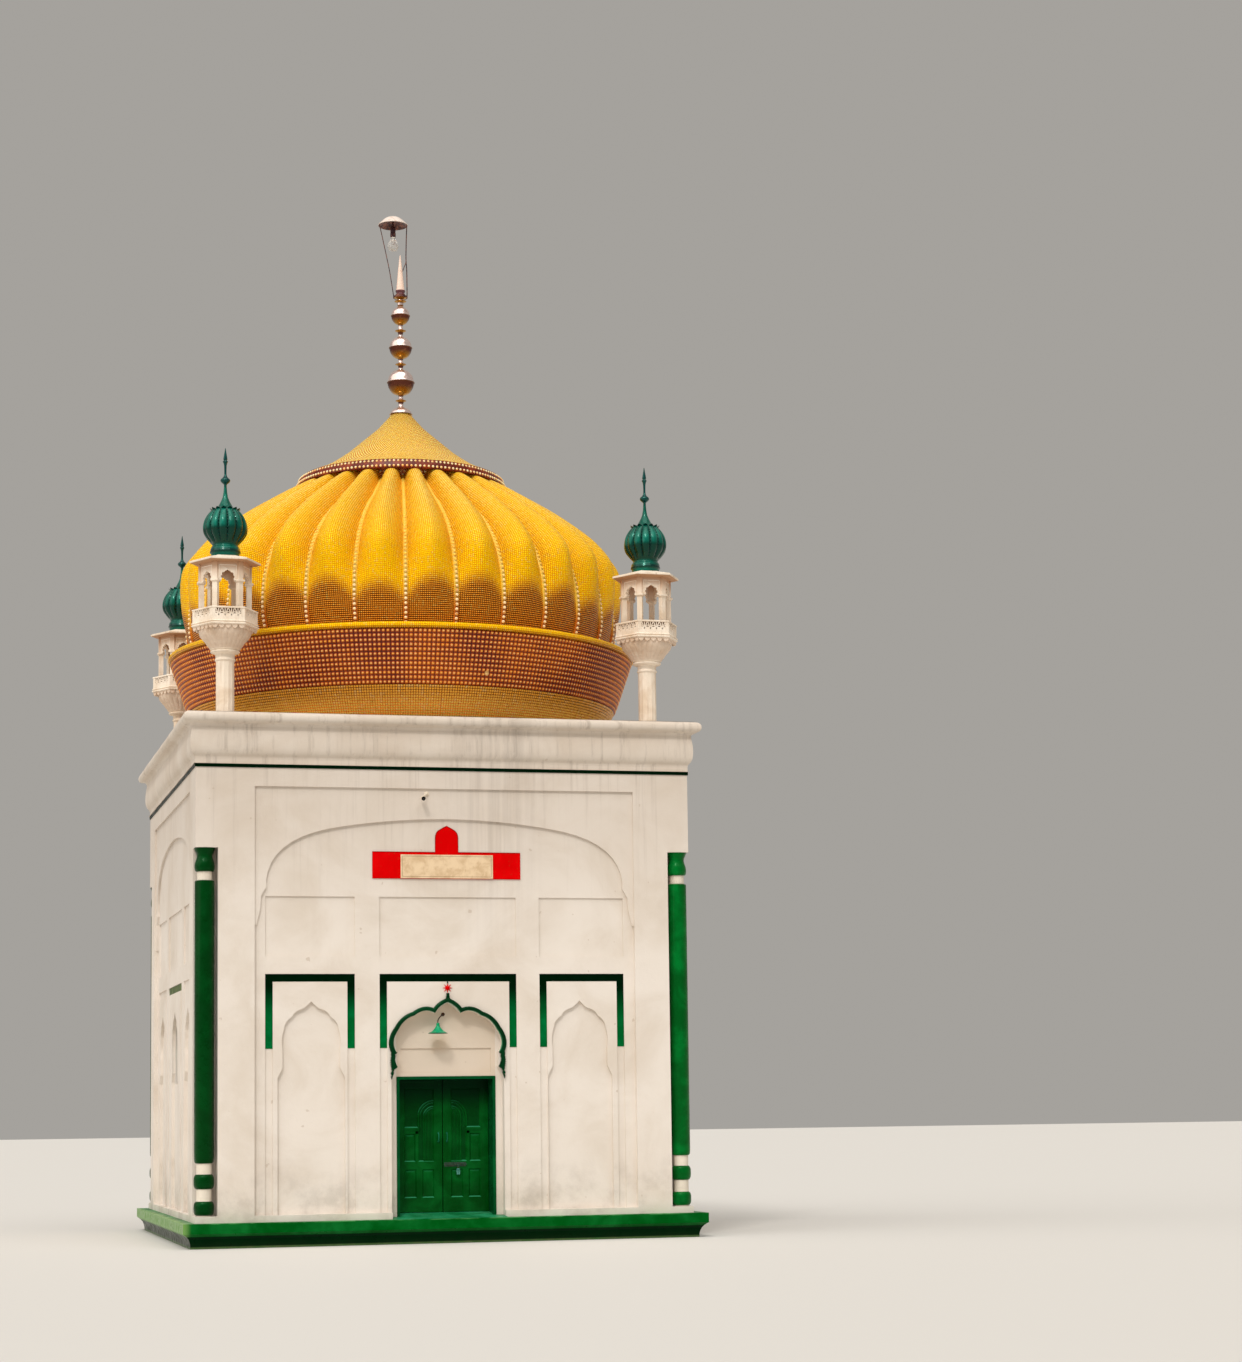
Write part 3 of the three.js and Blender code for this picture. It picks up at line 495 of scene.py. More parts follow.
shaft_line = [
    (CORE_R, 1.142), (0.104, 1.142), (0.12, 1.148), (0.132, 1.17), (0.135, 1.21), (0.135, 3.0),
    (0.135, 4.965), (0.131, 4.985), (0.104, 4.994), (CORE_R, 4.994)
]
capital_line = curve_through([
    (0.104, 5.112), (0.104, 5.112), (0.128, 5.122), (0.138, 5.165), (0.134, 5.23), (0.112, 5.3),
    (0.108, 5.34), (0.126, 5.385), (0.139, 5.42), (0.139, 5.4395), (0, 5.4395), (0, 5.4395)
], 5)
core_line = [(0, 0.431), (0.1035, 0.431), (0.1035, 5.13), (0, 5.13)]
column_paint, here, colour = gloss_paint(
    "column_green_paint", tint(0, 78, 20), tint(0, 112, 40), 0.3, 0.08, 0.3
)
side = axis(column_paint, here, 0)
# Painted shade: the columns on the left side are coloured darker green.
coloured(
    column_paint, layer(column_paint, span(column_paint, side, -3.1, -3.2, 0, 0.75), colour, tint(0, 30, 2))
)
column_core = plaster(
    "column_core_whitewash", tint(236, 226, 210), tint(222, 208, 190), tint(150, 136, 120), 0.3
)
for corner, sx, sy in CORNERS:
    at = (sx * COLUMN_AT, sy * COLUMN_AT)
    green = [turned(column_bead(*span_z), 48, at, ring=True) for span_z in BEADS]
    green += [turned(shaft_line, 48, at, ring=True), turned(capital_line, 48, at)]
    ride_piece(
        "column_paint_" + corner, green, column_paint, stands_for=["column_" + corner]
    )
    ride_piece("column_core_" + corner, [turned(core_line, 40, at)], column_core)


# String course and cornice.
# A thin painted fillet, then a plaster cornice run with a template: fillet, deep belly, quirk and a
# round nosing, stained by rain that hangs from the nosing in short grey drips.
cad_finish(border_paint, "string_course")
FILLET_REACH = 3.512
WAVER = 0.0035  # how far the hand-run moulding strays from true
cornice_line = curve_through([
    (3.25, 6.6005), (3.25, 6.6005), (3.512, 6.6005), (3.512, 6.6005), (3.512, 6.66), (3.512, 6.66),
    (3.52, 6.695), (3.552, 6.735), (3.572, 6.79), (3.58, 6.87), (3.576, 6.97), (3.562, 7.06), (3.562, 7.06),
    (3.558, 7.105), (3.558, 7.105), (3.58, 7.146), (3.64, 7.16), (3.673, 7.185), (3.683, 7.225),
    (3.672, 7.268), (3.635, 7.298), (3.59, 7.309), (3.59, 7.309), (3.25, 7.309), (3.25, 7.309)
], 4)


def square_run(profile, along):
    """Moulding profile of (half width, height), carried round a square with mitred corners; each side has
    the given number of stations and wavers by a few millimetres, as hand-run plaster does."""
    profile = np.asarray(profile, float)
    t = np.linspace(-1, 1, along, endpoint=False)
    ones = np.ones_like(t)
    ring = np.concatenate([np.stack(p, 1) for p in ((t, -ones), (ones, t), (-t, ones), (-ones, -t))])
    reach = np.repeat(profile[:, :1], len(ring), 1)
    wander = WAVER * np.sin(ring[:, 0] * 9.1 + ring[:, 1] * 7.3) * np.sin(
        ring[:, 0] * 4.3 - ring[:, 1] * 11.7
    )
    outside = profile[:, :1] > FILLET_REACH - 0.002
    reach = reach - WAVER + np.where(outside, wander[None, :], 0)
    points = np.stack([reach * ring[:, 0], reach * ring[:, 1], np.repeat(profile[:, 1:], len(ring), 1)], -1)
    return points.reshape(-1, 3), [grid_quads(len(profile), len(ring), wrap_rows=True)]


cornice_wash = plaster(
    "cornice_whitewash", tint(230, 220, 208), tint(214, 200, 184), tint(132, 118, 106), 0.6
)
ride_piece(
    "cornice_moulding", [square_run(cornice_line[:-1], 60)], cornice_wash,
    stands_for=["cornice"]
)


# Drum.
# A flaring masonry bowl faced with small glazed tiles: plain rows low down, then twelve rows of
# moulded knob tiles, with a painted highlight of gold where they catch the sky and deep red-brown between.
KNOBS_ROUND, KNOB_ROWS = 336, 12
KNOB_LOW, KNOB_HIGH = 7.815, 8.5745
KNOB_RISE = 0.024
DRUM_FOOT = 7.0005
drum_line = [
    (2.83, DRUM_FOOT), (2.985, 7.31), (3.085, 7.52), (3.185, 7.72), (3.268, 7.92), (3.34, 8.13),
    (3.412, 8.34), (3.486, 8.56), (3.49, 8.5745)
]


def radius_at(line, height):
    """Radius of a profile at given heights, straight between its stations."""
    r, z = np.asarray(line, float).T
    return np.interp(height, z, r)


def along_line(line):
    """Length from a profile's first point to each of its points."""
    return np.concatenate([[0], np.cumsum(np.linalg.norm(np.diff(np.asarray(line, float), axis=0), axis=1))])


def tile_marks(around, along, tone):
    """Numbers for the four corners of each face of a closed ring from turned, as tile_glaze reads them.
    They come from (rows, columns + 1) tables whose last column closes the turn, so that the tiles meet
    without a smear."""
    marks = {}
    for key, low in zip(("around", "along", "tone"), np.broadcast_arrays(around, along, tone)):
        high = np.roll(low, -1, 0)
        marks[key] = np.stack([low[:, :-1], low[:, 1:], high[:, 1:], high[:, :-1]], -1).ravel()
    return marks


def round_points(radius, height, angle):
    """Points about the Z axis: radius times (sin, -cos) of the angle, which runs from the front to the
    right, at the given heights."""
    radius, height, angle = np.broadcast_arrays(radius, height, angle)
    return np.stack([radius * np.sin(angle), -radius * np.cos(angle), height], -1).reshape(-1, 3)


# Knob field: rise = 24 mm times sin(pi a) ^ 0.5 times sin(pi b), where a and b go from 0 to 1 across
# each tile.
STEPS = 4
a = np.arange(KNOBS_ROUND * STEPS) / STEPS
b = np.arange(KNOB_ROWS * STEPS + 1) / STEPS
peak = np.abs(np.sin(math.pi * a))[None, :] ** 0.5 * np.abs(np.sin(math.pi * b))[:, None]
height = np.linspace(KNOB_LOW, KNOB_HIGH, len(b))
radius = radius_at(drum_line, height)[:, None] + KNOB_RISE * peak
angle = (a / KNOBS_ROUND * 2 * math.pi)[None, :]
knob_points = round_points(radius, height[:, None], angle)
back_line = np.array([[3.3, KNOB_HIGH], [3.05, KNOB_LOW]])
back_points = round_points(back_line[:, :1], back_line[:, 1:], angle)
knob_part = (np.concatenate([knob_points, back_points]), [grid_quads(len(b) + 2, len(a), wrap_rows=True)])
knob_marks = {"peak": np.concatenate([peak.ravel(), np.zeros(len(back_points))])}

DRUM_FLAWS = (
    (1.17, -2.91, 7.83, 0.045), (1.21, -2.85, 7.74, 0.05), (0.64, -3.24, 8.0, 0.04), (2.89, -1.8, 8.5, 0.05)
)
knob_glaze = finish("drum_knob_glaze", 0.34, 0.1, shine=0.3)
here = place(knob_glaze)
peak_mark = marked(knob_glaze, "peak")
drift = noise(knob_glaze, here, 1.1, 5, 0.6)
gap_colour = layer(knob_glaze, span(knob_glaze, drift, 0.4, 0.65), tint(88, 18, 0), tint(120, 44, 0))
flank = layer(knob_glaze, span(knob_glaze, drift, 0.35, 0.65), tint(172, 68, 0), tint(206, 98, 0))
# Painted highlight: the tops of the knobs are coloured pale gold.
tip = layer(knob_glaze, patches(knob_glaze, here, 0.4, 0.65, 8, 3), tint(255, 204, 120), tint(255, 184, 70))
colour = layer(knob_glaze, span(knob_glaze, peak_mark, 0.12, 0.5), gap_colour, flank)
colour = layer(knob_glaze, span(knob_glaze, peak_mark, 0.66, 0.94), colour, tip)


def flawed(glaze, colour, flaws, bare):
    """Bare patches where tiles have come off, each round a point on the surface."""
    where = place(glaze)
    for x, y, z, size in flaws:
        gap = wire(glaze, "VectorMath", {0: where, 1: (x, y, z)}, "Value", operation="DISTANCE")
        ragged = plus(glaze, gap, times(glaze, noise(glaze, where, 24, 3), size * 0.9))
        colour = layer(glaze, span(glaze, ragged, size * 1.5, size * 1.2), colour, bare)
    return colour


MORTAR = tint(222, 176, 112)
coloured(knob_glaze, flawed(knob_glaze, colour, DRUM_FLAWS, MORTAR))
use(knob_glaze, "Roughness", span(knob_glaze, noise(knob_glaze, here, 11, 4), 0.3, 0.7, 0.24, 0.46))
ride_piece("drum_knobs", [knob_part], knob_glaze, marks=knob_marks, crease=80)

# Plain rows below the knobs, each a course of narrow tiles with its lower edge pinched in.
COURSE = 0.0355
COURSES = 23
COURSE_TOP = KNOB_LOW - 0.0003
course_z = np.linspace(DRUM_FOOT, KNOB_LOW, COURSES + 1)
course_line = [(2.7, DRUM_FOOT)]
for low, high in zip(course_z[:-1], course_z[1:]):
    low_r, high_r = radius_at(drum_line, low), radius_at(drum_line, high)
    tall = high - low
    course_line += [
        (low_r - 0.009, low), (low_r + 0.002, low + 0.3 * tall), (high_r + 0.001, high - 0.2 * tall)
    ]
course_line += [(radius_at(drum_line, KNOB_LOW), COURSE_TOP), (3.05, COURSE_TOP)]


def tile_glaze(
    name, pitch, light, dark, joint, gleam, metallic=0.08, joint_share=0.16, row_gap=0.0, column_gap=0.0
):
    """Small square glazed tiles in straight rows, from the marks around and along, in metres. Each tile
    is a low pillow with its own tone and its own slight tilt, and the joints are dark. The mark tone
    takes the colour from light (0) to dark (1), where row_gap also widens the joints between rows; on
    the dome's shell and moulding it carries painted shade and reflection. A crest mark adds gleam as a
    painted highlight. column_gap widens the joints between columns everywhere."""
    glaze = finish(name, 0.3, metallic, shine=0.4)
    sockets(glaze)["Specular Tint"].default_value = tint(255, 196, 60)
    marks = {k: marked(glaze, k) for k in ("around", "along", "tone")}
    cell, inside = [], []
    for key in ("around", "along"):
        count = reckon(glaze, "DIVIDE", marks[key], pitch)
        cell.append(reckon(glaze, "FLOOR", count))
        inside.append(reckon(glaze, "FRACT", count))
    tile_id = wire(glaze, "CombineXYZ", {0: cell[0], 1: cell[1]})
    chance = wire(glaze, "TexWhiteNoise", {"Vector": tile_id}, "Color", noise_dimensions="3D")
    lot = [wire(glaze, "SeparateColor", {"Color": chance}, k) for k in range(3)]
    from_edge = [reckon(glaze, "PINGPONG", x, 0.5) for x in inside]
    from_edge[0] = reckon(glaze, "SUBTRACT", from_edge[0], column_gap)
    from_edge[1] = reckon(glaze, "SUBTRACT", from_edge[1], times(glaze, marks["tone"], row_gap))
    to_joint = reckon(glaze, "MINIMUM", from_edge[0], from_edge[1])
    pillow = span(glaze, to_joint, 0.02, joint_share + 0.1)
    own_tone = reckon(glaze, "MULTIPLY_ADD", lot[0], 0.16, -0.08)
    shade = span(glaze, plus(glaze, marks["tone"], own_tone), 0.0, 1.0)
    colour = layer(glaze, shade, light, dark)
    colour = layer(glaze, span(glaze, lot[1], 0.75, 1.0), colour, gleam, 0.35)
    # Painted highlight along the crests, in the gleam colour.
    crest_highlight = marked(glaze, "crest_highlight")
    colour = layer(glaze, times(glaze, crest_highlight, span(glaze, lot[2], 0.0, 0.8, 0.35, 1.0)), colour, gleam)
    joint_dark = layer(glaze, shade, joint, tint(84, 26, 0))
    colour = layer(glaze, span(glaze, to_joint, joint_share, 0.05), colour, joint_dark)
    use(glaze, "Roughness", span(glaze, lot[2], 0.0, 1.0, 0.26, 0.46))
    tilt = []
    for k in (0, 1):
        off_middle = reckon(glaze, "SUBTRACT", inside[k], 0.5)
        tilt.append(times(glaze, off_middle, reckon(glaze, "SUBTRACT", lot[k], 0.5)))
    tilted = times(glaze, plus(glaze, tilt[0], tilt[1]), 1.6)
    relief(glaze, plus(glaze, pillow, tilted), 0.006, 0.9)
    return glaze, colour


bronze_glaze, colour = tile_glaze(
    "drum_course_glaze", COURSE, tint(255, 224, 110), tint(255, 180, 66), tint(244, 130, 16),
    tint(255, 240, 180)
)
coloured(bronze_glaze, flawed(bronze_glaze, colour, DRUM_FLAWS, MORTAR))
COURSE_COLUMNS = 280
course_part = turned(course_line, COURSE_COLUMNS, ring=True)
COURSE_RADIUS = 3.08  # where a tile is as wide as it is tall
around = np.linspace(0, 2 * math.pi * COURSE_RADIUS, COURSE_COLUMNS + 1)[None, :]
course_height = np.asarray(course_line)[:, 1:]
course_count = (course_height - DRUM_FOOT) / (course_z[1] - course_z[0])
dusky = np.clip((course_height - 7.5) / 0.25, 0, 1) * 0.8
course_marks = tile_marks(around, course_count * COURSE, dusky)
ride_piece(
    "drum_courses", [course_part], bronze_glaze, stands_for=["drum"], marks=course_marks
)


# Dome moulding, shell, collar and cap.
# Brick dome with 28 round gadroons, flat at the foot and deep at the head, in small gold tiles laid in
# rows and columns. A rounded rib with glass beads lies in each valley, a rolled moulding runs under the
# dome, and over it a collar of two bead rows carries a hollow-sided cap whose tile columns lean.
LOBES = 28
FIRST_RIB = math.radians(3.68)
TILE = 0.03
moulding_line = curve_through([
    (3.2, 8.5755), (3.2, 8.5755), (3.48, 8.5755), (3.48, 8.5755), (3.515, 8.585), (3.535, 8.607),
    (3.538, 8.63), (3.53, 8.652), (3.505, 8.668), (3.46, 8.6715), (3.46, 8.6715), (3.2, 8.6715),
    (3.2, 8.6715)
], 3)[:-1]
gold_glaze, colour = tile_glaze(
    "dome_gold_glaze", TILE, tint(255, 216, 4), tint(255, 164, 50), tint(248, 150, 0), tint(255, 240, 130),
    row_gap=0.15, column_gap=0.03
)
coloured(gold_glaze, colour)
MOULD_COLUMNS = 252
moulding_part = turned(moulding_line, MOULD_COLUMNS, ring=True)
MOULD_TILES = round(2 * math.pi * 3.52 / TILE)
around = np.linspace(0, TILE * MOULD_TILES, MOULD_COLUMNS + 1)[None, :]
# Painted shade: the roll's underside is coloured dark and its top light.
roll_underside_shade = np.interp(moulding_line[:, 1], [8.58, 8.61, 8.64], [0.75, 0.3, 0.0])[:, None]
moulding_marks = tile_marks(around, along_line(moulding_line)[:, None], roll_underside_shade)
ride_piece(
    "dome_moulding_roll", [moulding_part], gold_glaze, stands_for=["dome_moulding"],
    marks=moulding_marks
)

# Crest line of the gadroons and line of the valleys between them, station by station.
CREST = [
    (3.176, 8.6725), (3.25, 8.95), (3.325, 9.25), (3.357, 9.52), (3.363, 9.78), (3.309, 10.03), (3.1, 10.3),
    (2.85, 10.52), (2.45, 10.81), (2.05, 11.058), (1.76, 11.228), (1.56, 11.326), (1.4, 11.388)
]
VALLEY = [
    (3.165, 8.6725), (3.232, 8.95), (3.237, 9.22), (3.205, 9.48), (3.14, 9.69), (3.05, 9.89),
    (2.905, 10.105), (2.68, 10.34), (2.33, 10.604), (1.93, 10.843), (1.6, 11.064), (1.42, 11.186),
    (1.275, 11.292)
]
crest_line = curve_through(CREST, 6)
valley_line = curve_through(VALLEY, 6)
PER_LOBE = 20
local = np.sin(np.linspace(-0.5, 0.5, PER_LOBE + 1) * math.pi)
rows = len(crest_line)
meridian = along_line(crest_line)
# Half width of the ribs, and the share of each valley that they fill. A lobe's rise over the valleys is
# 1 minus the share of its half width to the power of its fullness, which grows at the head.
rib_half_line = np.interp(meridian, [0.0, 1.0, 2.2, meridian[-1]], [0.037, 0.037, 0.031, 0.027])
flat_floor = rib_half_line * 0.92 / (valley_line[:, 0] * math.pi / LOBES)
fullness = np.interp(meridian, [0.0, meridian[-1] - 0.8, meridian[-1]], [1.7, 1.7, 3.6])[:, None]
rise = np.clip(1 - (np.abs(local)[None, :] / (1 - flat_floor[:, None])) ** fullness, 0, 1)
lobe_centre = FIRST_RIB + (np.arange(LOBES) + 0.5) / LOBES * 2 * math.pi
shell_angle = lobe_centre[:, None] + local[None, :] * math.pi / LOBES
profile_rows = valley_line[:, None, :] + (crest_line - valley_line)[:, None, :] * rise[:, :, None]
shell_radius = np.repeat(profile_rows[:, None, :, 0], LOBES, 1)
shell_height = np.repeat(profile_rows[:, None, :, 1], LOBES, 1)
shell_points = round_points(shell_radius, shell_height, shell_angle).reshape(*shell_radius.shape, 3)
inner_line = np.array([
    [1.05, 11.36], [1.05, 11.24], [1.87, 10.76], [2.52, 10.29], [2.79, 9.95], [2.96, 9.6], [3.04, 9.25],
    [3.0, 8.6725]
])
inner_points = round_points(inner_line[:, :1], inner_line[:, 1:], shell_angle[:, :-1].reshape(1, -1))
shell_part = (
    np.concatenate([shell_points[:, :, :-1].reshape(-1, 3), inner_points]),
    [grid_quads(rows + len(inner_line), LOBES * PER_LOBE, wrap_rows=True)],
)

# Tile places: along the crest from the foot up, and across each lobe from its middle. Each lobe starts
# 40 tiles after the one before it, so that no two lobes share a tile's chance colours.
LOBE_TILES = 40
step_across = np.linalg.norm(np.diff(shell_points[:, 0], axis=1), axis=2)
across = np.concatenate([np.zeros((rows, 1)), np.cumsum(step_across, 1)], 1)
across -= across[:, PER_LOBE // 2][:, None]
lobe_across = across[:, None, :] + (np.arange(LOBES) * LOBE_TILES * TILE)[None, :, None] + TILE / 2

# Painted reflection of the dark ground: the low part of each gadroon is made brown, up to a line that
# dips towards the ribs and wavers round the dome. Painted shade makes the lower tiles and the flanks of
# each lobe a little darker than its crown.
wave = 0.05 * np.sin(5.0 * shell_angle) + 0.04 * np.sin(11.0 * shell_angle + 1.0)
dusk_top = 9.34 - 0.24 * np.abs(local[None, None, :]) ** 2.2 + wave[None]
dusk = np.clip((dusk_top - shell_height) / 0.3 + 0.5, 0, 1)
glow = np.clip((shell_height - 9.2) / 0.9, 0, 1)
flank = np.abs(local[None, None, :]) ** 2 * np.clip((shell_height - 9.3) / 0.5, 0, 1)
tone = np.clip(0.92 * dusk + 0.12 * (1 - glow) + 0.5 * flank, 0, 1)


def lobe_corners(values):
    """Corner numbers of the shell's faces, from a (rows, lobes, columns + 1) table, and 0 on its inside."""
    pairs = np.stack([values[:, :, :-1], values[:, :, 1:]], -1).reshape(len(values), -1, 2)
    outer = np.stack([pairs[:-1, :, 0], pairs[:-1, :, 1], pairs[1:, :, 1], pairs[1:, :, 0]], -1)
    return np.concatenate([outer.ravel(), np.zeros((len(inner_line) + 1) * LOBES * PER_LOBE * 4)])


ones = np.ones_like(shell_radius)
# Painted highlight: near-white streaks along the upper crests of the lobes.
streak = 0.75 + 0.25 * np.sin(37 * local[None, None, :] + 11 * np.arange(LOBES)[None, :, None])
crest_highlight = np.clip((shell_height - 9.75) / 1.1, 0, 1) * (1 - np.abs(local[None, None, :]) ** 1.5) * streak * 0.8
shell_marks = {
    "crest_highlight": lobe_corners(crest_highlight),
    "around": lobe_corners(lobe_across * ones),
    "along": lobe_corners(meridian[:, None, None] * ones),
    "tone": lobe_corners(tone * ones),
}
ride_piece(
    "dome_gadroons", [shell_part], gold_glaze, stands_for=["dome_shell"], marks=shell_marks,
    crease=70
)

# Ribs: a half-round strip up each valley, wide below and thin at the head, with beads a bead apart.
rib_line = valley_line[: rows - 2]
rib_run = along_line(rib_line)
slope = np.gradient(rib_line, rib_run, axis=0)
outward = np.stack([slope[:, 1], -slope[:, 0]], 1)
rib_angle = FIRST_RIB + np.arange(LOBES) / LOBES * 2 * math.pi


def on_rib(along, off, sideways):
    """Points of every rib: a distance along the valley line, a distance off it, and one sideways."""
    r = np.interp(along, rib_run, rib_line[:, 0]) + off * np.interp(along, rib_run, outward[:, 0])
    z = np.interp(along, rib_run, rib_line[:, 1]) + off * np.interp(along, rib_run, outward[:, 1])
    turn = rib_angle.reshape(-1, *[1] * np.ndim(r))
    x = r * np.sin(turn) + sideways * np.cos(turn)
    y = -r * np.cos(turn) + sideways * np.sin(turn)
    return np.stack([x, y, np.broadcast_to(z, x.shape)], -1)


RIB_STEPS = 140
RIB_SIDES = 9
BEAD_PITCH = 0.0665
FIRST_BEAD = 0.045
strip_s = np.linspace(0.0, rib_run[-1], RIB_STEPS)[:, None]
strip_a = np.linspace(-0.25 * math.pi, 1.25 * math.pi, RIB_SIDES)[None, :]
rib_half = np.interp(strip_s, rib_run, rib_half_line[: len(rib_run)])
strip = on_rib(strip_s + 0 * strip_a, rib_half * (0.8 * np.sin(strip_a) + 0.1), rib_half * np.cos(strip_a))
strip_start = np.arange(LOBES) * RIB_STEPS * RIB_SIDES
strip_faces = (grid_quads(RIB_STEPS, RIB_SIDES)[None] + strip_start[:, None, None]).reshape(-1, 4)
# The rib's outer face is darker between the beads, less so higher up.
between = 0.5 - 0.5 * np.cos((strip_s - FIRST_BEAD) / BEAD_PITCH * 2 * math.pi)
strip_dark = between * np.clip(np.sin(strip_a), 0, 1) ** 2 * np.interp(
    strip_s, [0.2, 0.9, 1.6], [1.0, 0.8, 0.25]
)
rib_glaze = finish("rib_gold_glaze", 0.34, 0.08, shine=0.3)
here = place(rib_glaze)
rib_height = axis(rib_glaze, here, 2)
# Painted shade: the ribs are darker orange low on the dome and light gold higher up.
colour = layer(rib_glaze, span(rib_glaze, rib_height, 8.9, 9.3), tint(206, 112, 14), tint(255, 216, 84))
colour = layer(rib_glaze, patches(rib_glaze, here, 0.55, 0.8, 12, 4), colour, tint(236, 150, 20))
between_beads_dark = marked(rib_glaze, "socket")
coloured(rib_glaze, layer(rib_glaze, between_beads_dark, colour, tint(84, 24, 0)))
relief(rib_glaze, noise(rib_glaze, here, 60, 3), 0.003, 0.6)
strip_caps = np.concatenate([end + strip_start[:, None] for end in end_faces(RIB_STEPS, RIB_SIDES)])
strip_marks = {"socket": np.tile((strip_dark * np.ones_like(strip_a)).ravel(), LOBES)}
ride_piece(
    "dome_ribs", [(strip.reshape(-1, 3), [strip_faces, strip_caps])], rib_glaze, crease=50,
    marks=strip_marks
)


def bead_cups(centres, outwards, radius, around=8, rings=3):
    """Beads: a half ball on each centre along its outward direction, radius times (cos e, sin e) for
    angles e from 0 to a right angle, with a closed back. radius is one number or one for each bead."""
    n = outwards / np.linalg.norm(outwards, axis=1, keepdims=True)
    level = np.stack([-n[:, 1], n[:, 0], 0 * n[:, 0]], 1)
    level /= np.maximum(np.linalg.norm(level, axis=1, keepdims=True), 1e-9)
    up = np.cross(n, level)
    e = (np.arange(rings) / rings * math.pi / 2)[:, None]
    f = (np.arange(around) / around * 2 * math.pi)[None, :]
    reach = np.cos(e) * np.ones_like(f)
    unit = np.stack([reach * np.cos(f), reach * np.sin(f), np.sin(e) * np.ones_like(f)], -1).reshape(-1, 3)
    unit = np.concatenate([unit, [[0, 0, 1]]])
    size = np.broadcast_to(radius, len(centres))[:, None, None] * unit[None]
    points = centres[:, None] + size[..., :1] * level[:, None]
    points = points + size[..., 1:2] * up[:, None]
    points = points + size[..., 2:] * n[:, None]
    k = len(unit)
    j = np.arange(around)
    j2 = (j + 1) % around
    top = (rings - 1) * around
    quads = grid_quads(rings, around)
    tris = np.stack([top + j, top + j2, np.full(around, k - 1)], 1)
    base = np.arange(len(centres))[:, None, None] * k
    return points.reshape(-1, 3), [
        (quads + base).reshape(-1, 4), (tris + base).reshape(-1, 3), j[::-1] + base[:, 0]
    ]


bead_s = np.arange(FIRST_BEAD, rib_run[-1] - 0.03, BEAD_PITCH)
bead_half = np.interp(bead_s, [0.0, 1.2, 2.2, rib_run[-1]], [0.0265, 0.0255, 0.018, 0.013])
bead_at = on_rib(bead_s, bead_half * 0.9, 0.0).reshape(-1, 3)
bead_out = (on_rib(bead_s, 1.0, 0.0) - on_rib(bead_s, 0.0, 0.0)).reshape(-1, 3)
bead_glaze = finish("bead_pearl_glaze", 0.26, coat=0.2)
here = place(bead_glaze)
bead_height = axis(bead_glaze, here, 2)
colour = layer(bead_glaze, span(bead_glaze, bead_height, 9.1, 9.7), tint(255, 226, 176), tint(255, 208, 74))
colour = layer(bead_glaze, patches(bead_glaze, here, 0.55, 0.7, 16, 2), colour, tint(224, 150, 54))
coloured(bead_glaze, colour)
ride_piece(
    "dome_rib_beads", [bead_cups(bead_at, bead_out, np.tile(bead_half, LOBES))], bead_glaze,
    crease=180
)

# Collar: a dark band with a lip and two rows of pale beads, and a skirt under it that shows in the
# valleys with two beads over each rib's head.
collar_line = [
    (1.26, 11.415), (1.4, 11.396), (1.565, 11.342), (1.572, 11.318), (1.588, 11.314), (1.6, 11.322),
    (1.602, 11.345), (1.594, 11.385), (1.578, 11.42), (1.566, 11.448), (1.55, 11.4645), (1.26, 11.4645)
]
skirt_line = [(1.13, 11.22), (1.32, 11.22), (1.345, 11.4), (1.13, 11.4)]


def mottled(name, one, other, low, high, kind, roughness, **sheen):
    """Finish of one colour with soft patches of another, made by noise of the given kind: its scale and
    its detail. Returns the material and its object coordinates."""
    material = finish(name, roughness, **sheen)
    here = place(material)
    coloured(material, layer(material, patches(material, here, low, high, *kind), one, other))
    return material, here


collar_glaze, here = mottled(
    "collar_red_glaze", tint(96, 20, 0), tint(140, 48, 6), 0.4, 0.65, (7, 4), 0.4, shine=0.3
)
relief(collar_glaze, noise(collar_glaze, here, 50, 3), 0.003, 0.5)
ride_piece(
    "dome_collar_ring", [turned(collar_line, 224, ring=True)], collar_glaze,
    stands_for=["dome_collar"]
)
# Painted light: the skirt, in the collar's shade, is coloured a light orange-red in place of dark red.
skirt_painted_light_glaze, _ = mottled(
    "collar_skirt_painted_light_glaze", tint(224, 104, 36), tint(250, 150, 70), 0.4, 0.65, (9, 4), 0.4, shine=0.3
)
ride_piece("dome_collar_skirt", [turned(skirt_line, 112, ring=True)], skirt_painted_light_glaze)


def bead_circle(count, radius, height, tilt):
    """Centres and outward directions of beads in a level circle, each tilted up by an angle."""
    turn = np.arange(count) / count * 2 * math.pi
    return round_points(radius, height, turn), round_points(math.cos(tilt), math.sin(tilt), turn)


BEADS_ROUND = 154
low_at, low_out = bead_circle(BEADS_ROUND, 1.598, 11.352, 0.1)
high_at, high_out = bead_circle(BEADS_ROUND, 1.566, 11.43, 0.35)
HEAD_BEADS = ((-0.03, 0.0), (0.03, 0.0), (0, 0.045))  # over a rib's head: sideways and down
head_at, head_out = [], []
for sideways, drop in HEAD_BEADS:
    r = 1.35 - drop * 0.2
    x = r * np.sin(rib_angle) + sideways * np.cos(rib_angle)
    y = -r * np.cos(rib_angle) + sideways * np.sin(rib_angle)
    head_at.append(np.stack([x, y, np.full(LOBES, 11.322 - drop)], 1))
    head_out.append(round_points(1.0, 0.2, rib_angle))
pearl, _ = mottled(
    "collar_pearl_glaze", tint(255, 240, 190), tint(255, 200, 120), 0.45, 0.6, (14, 2), 0.26, coat=0.2
)
collar_beads = [
    bead_cups(low_at, low_out, 0.021),
    bead_cups(high_at, high_out, 0.021),
    bead_cups(np.concatenate(head_at), np.concatenate(head_out), 0.024),
]
ride_piece("dome_collar_beads", collar_beads, pearl, crease=180)

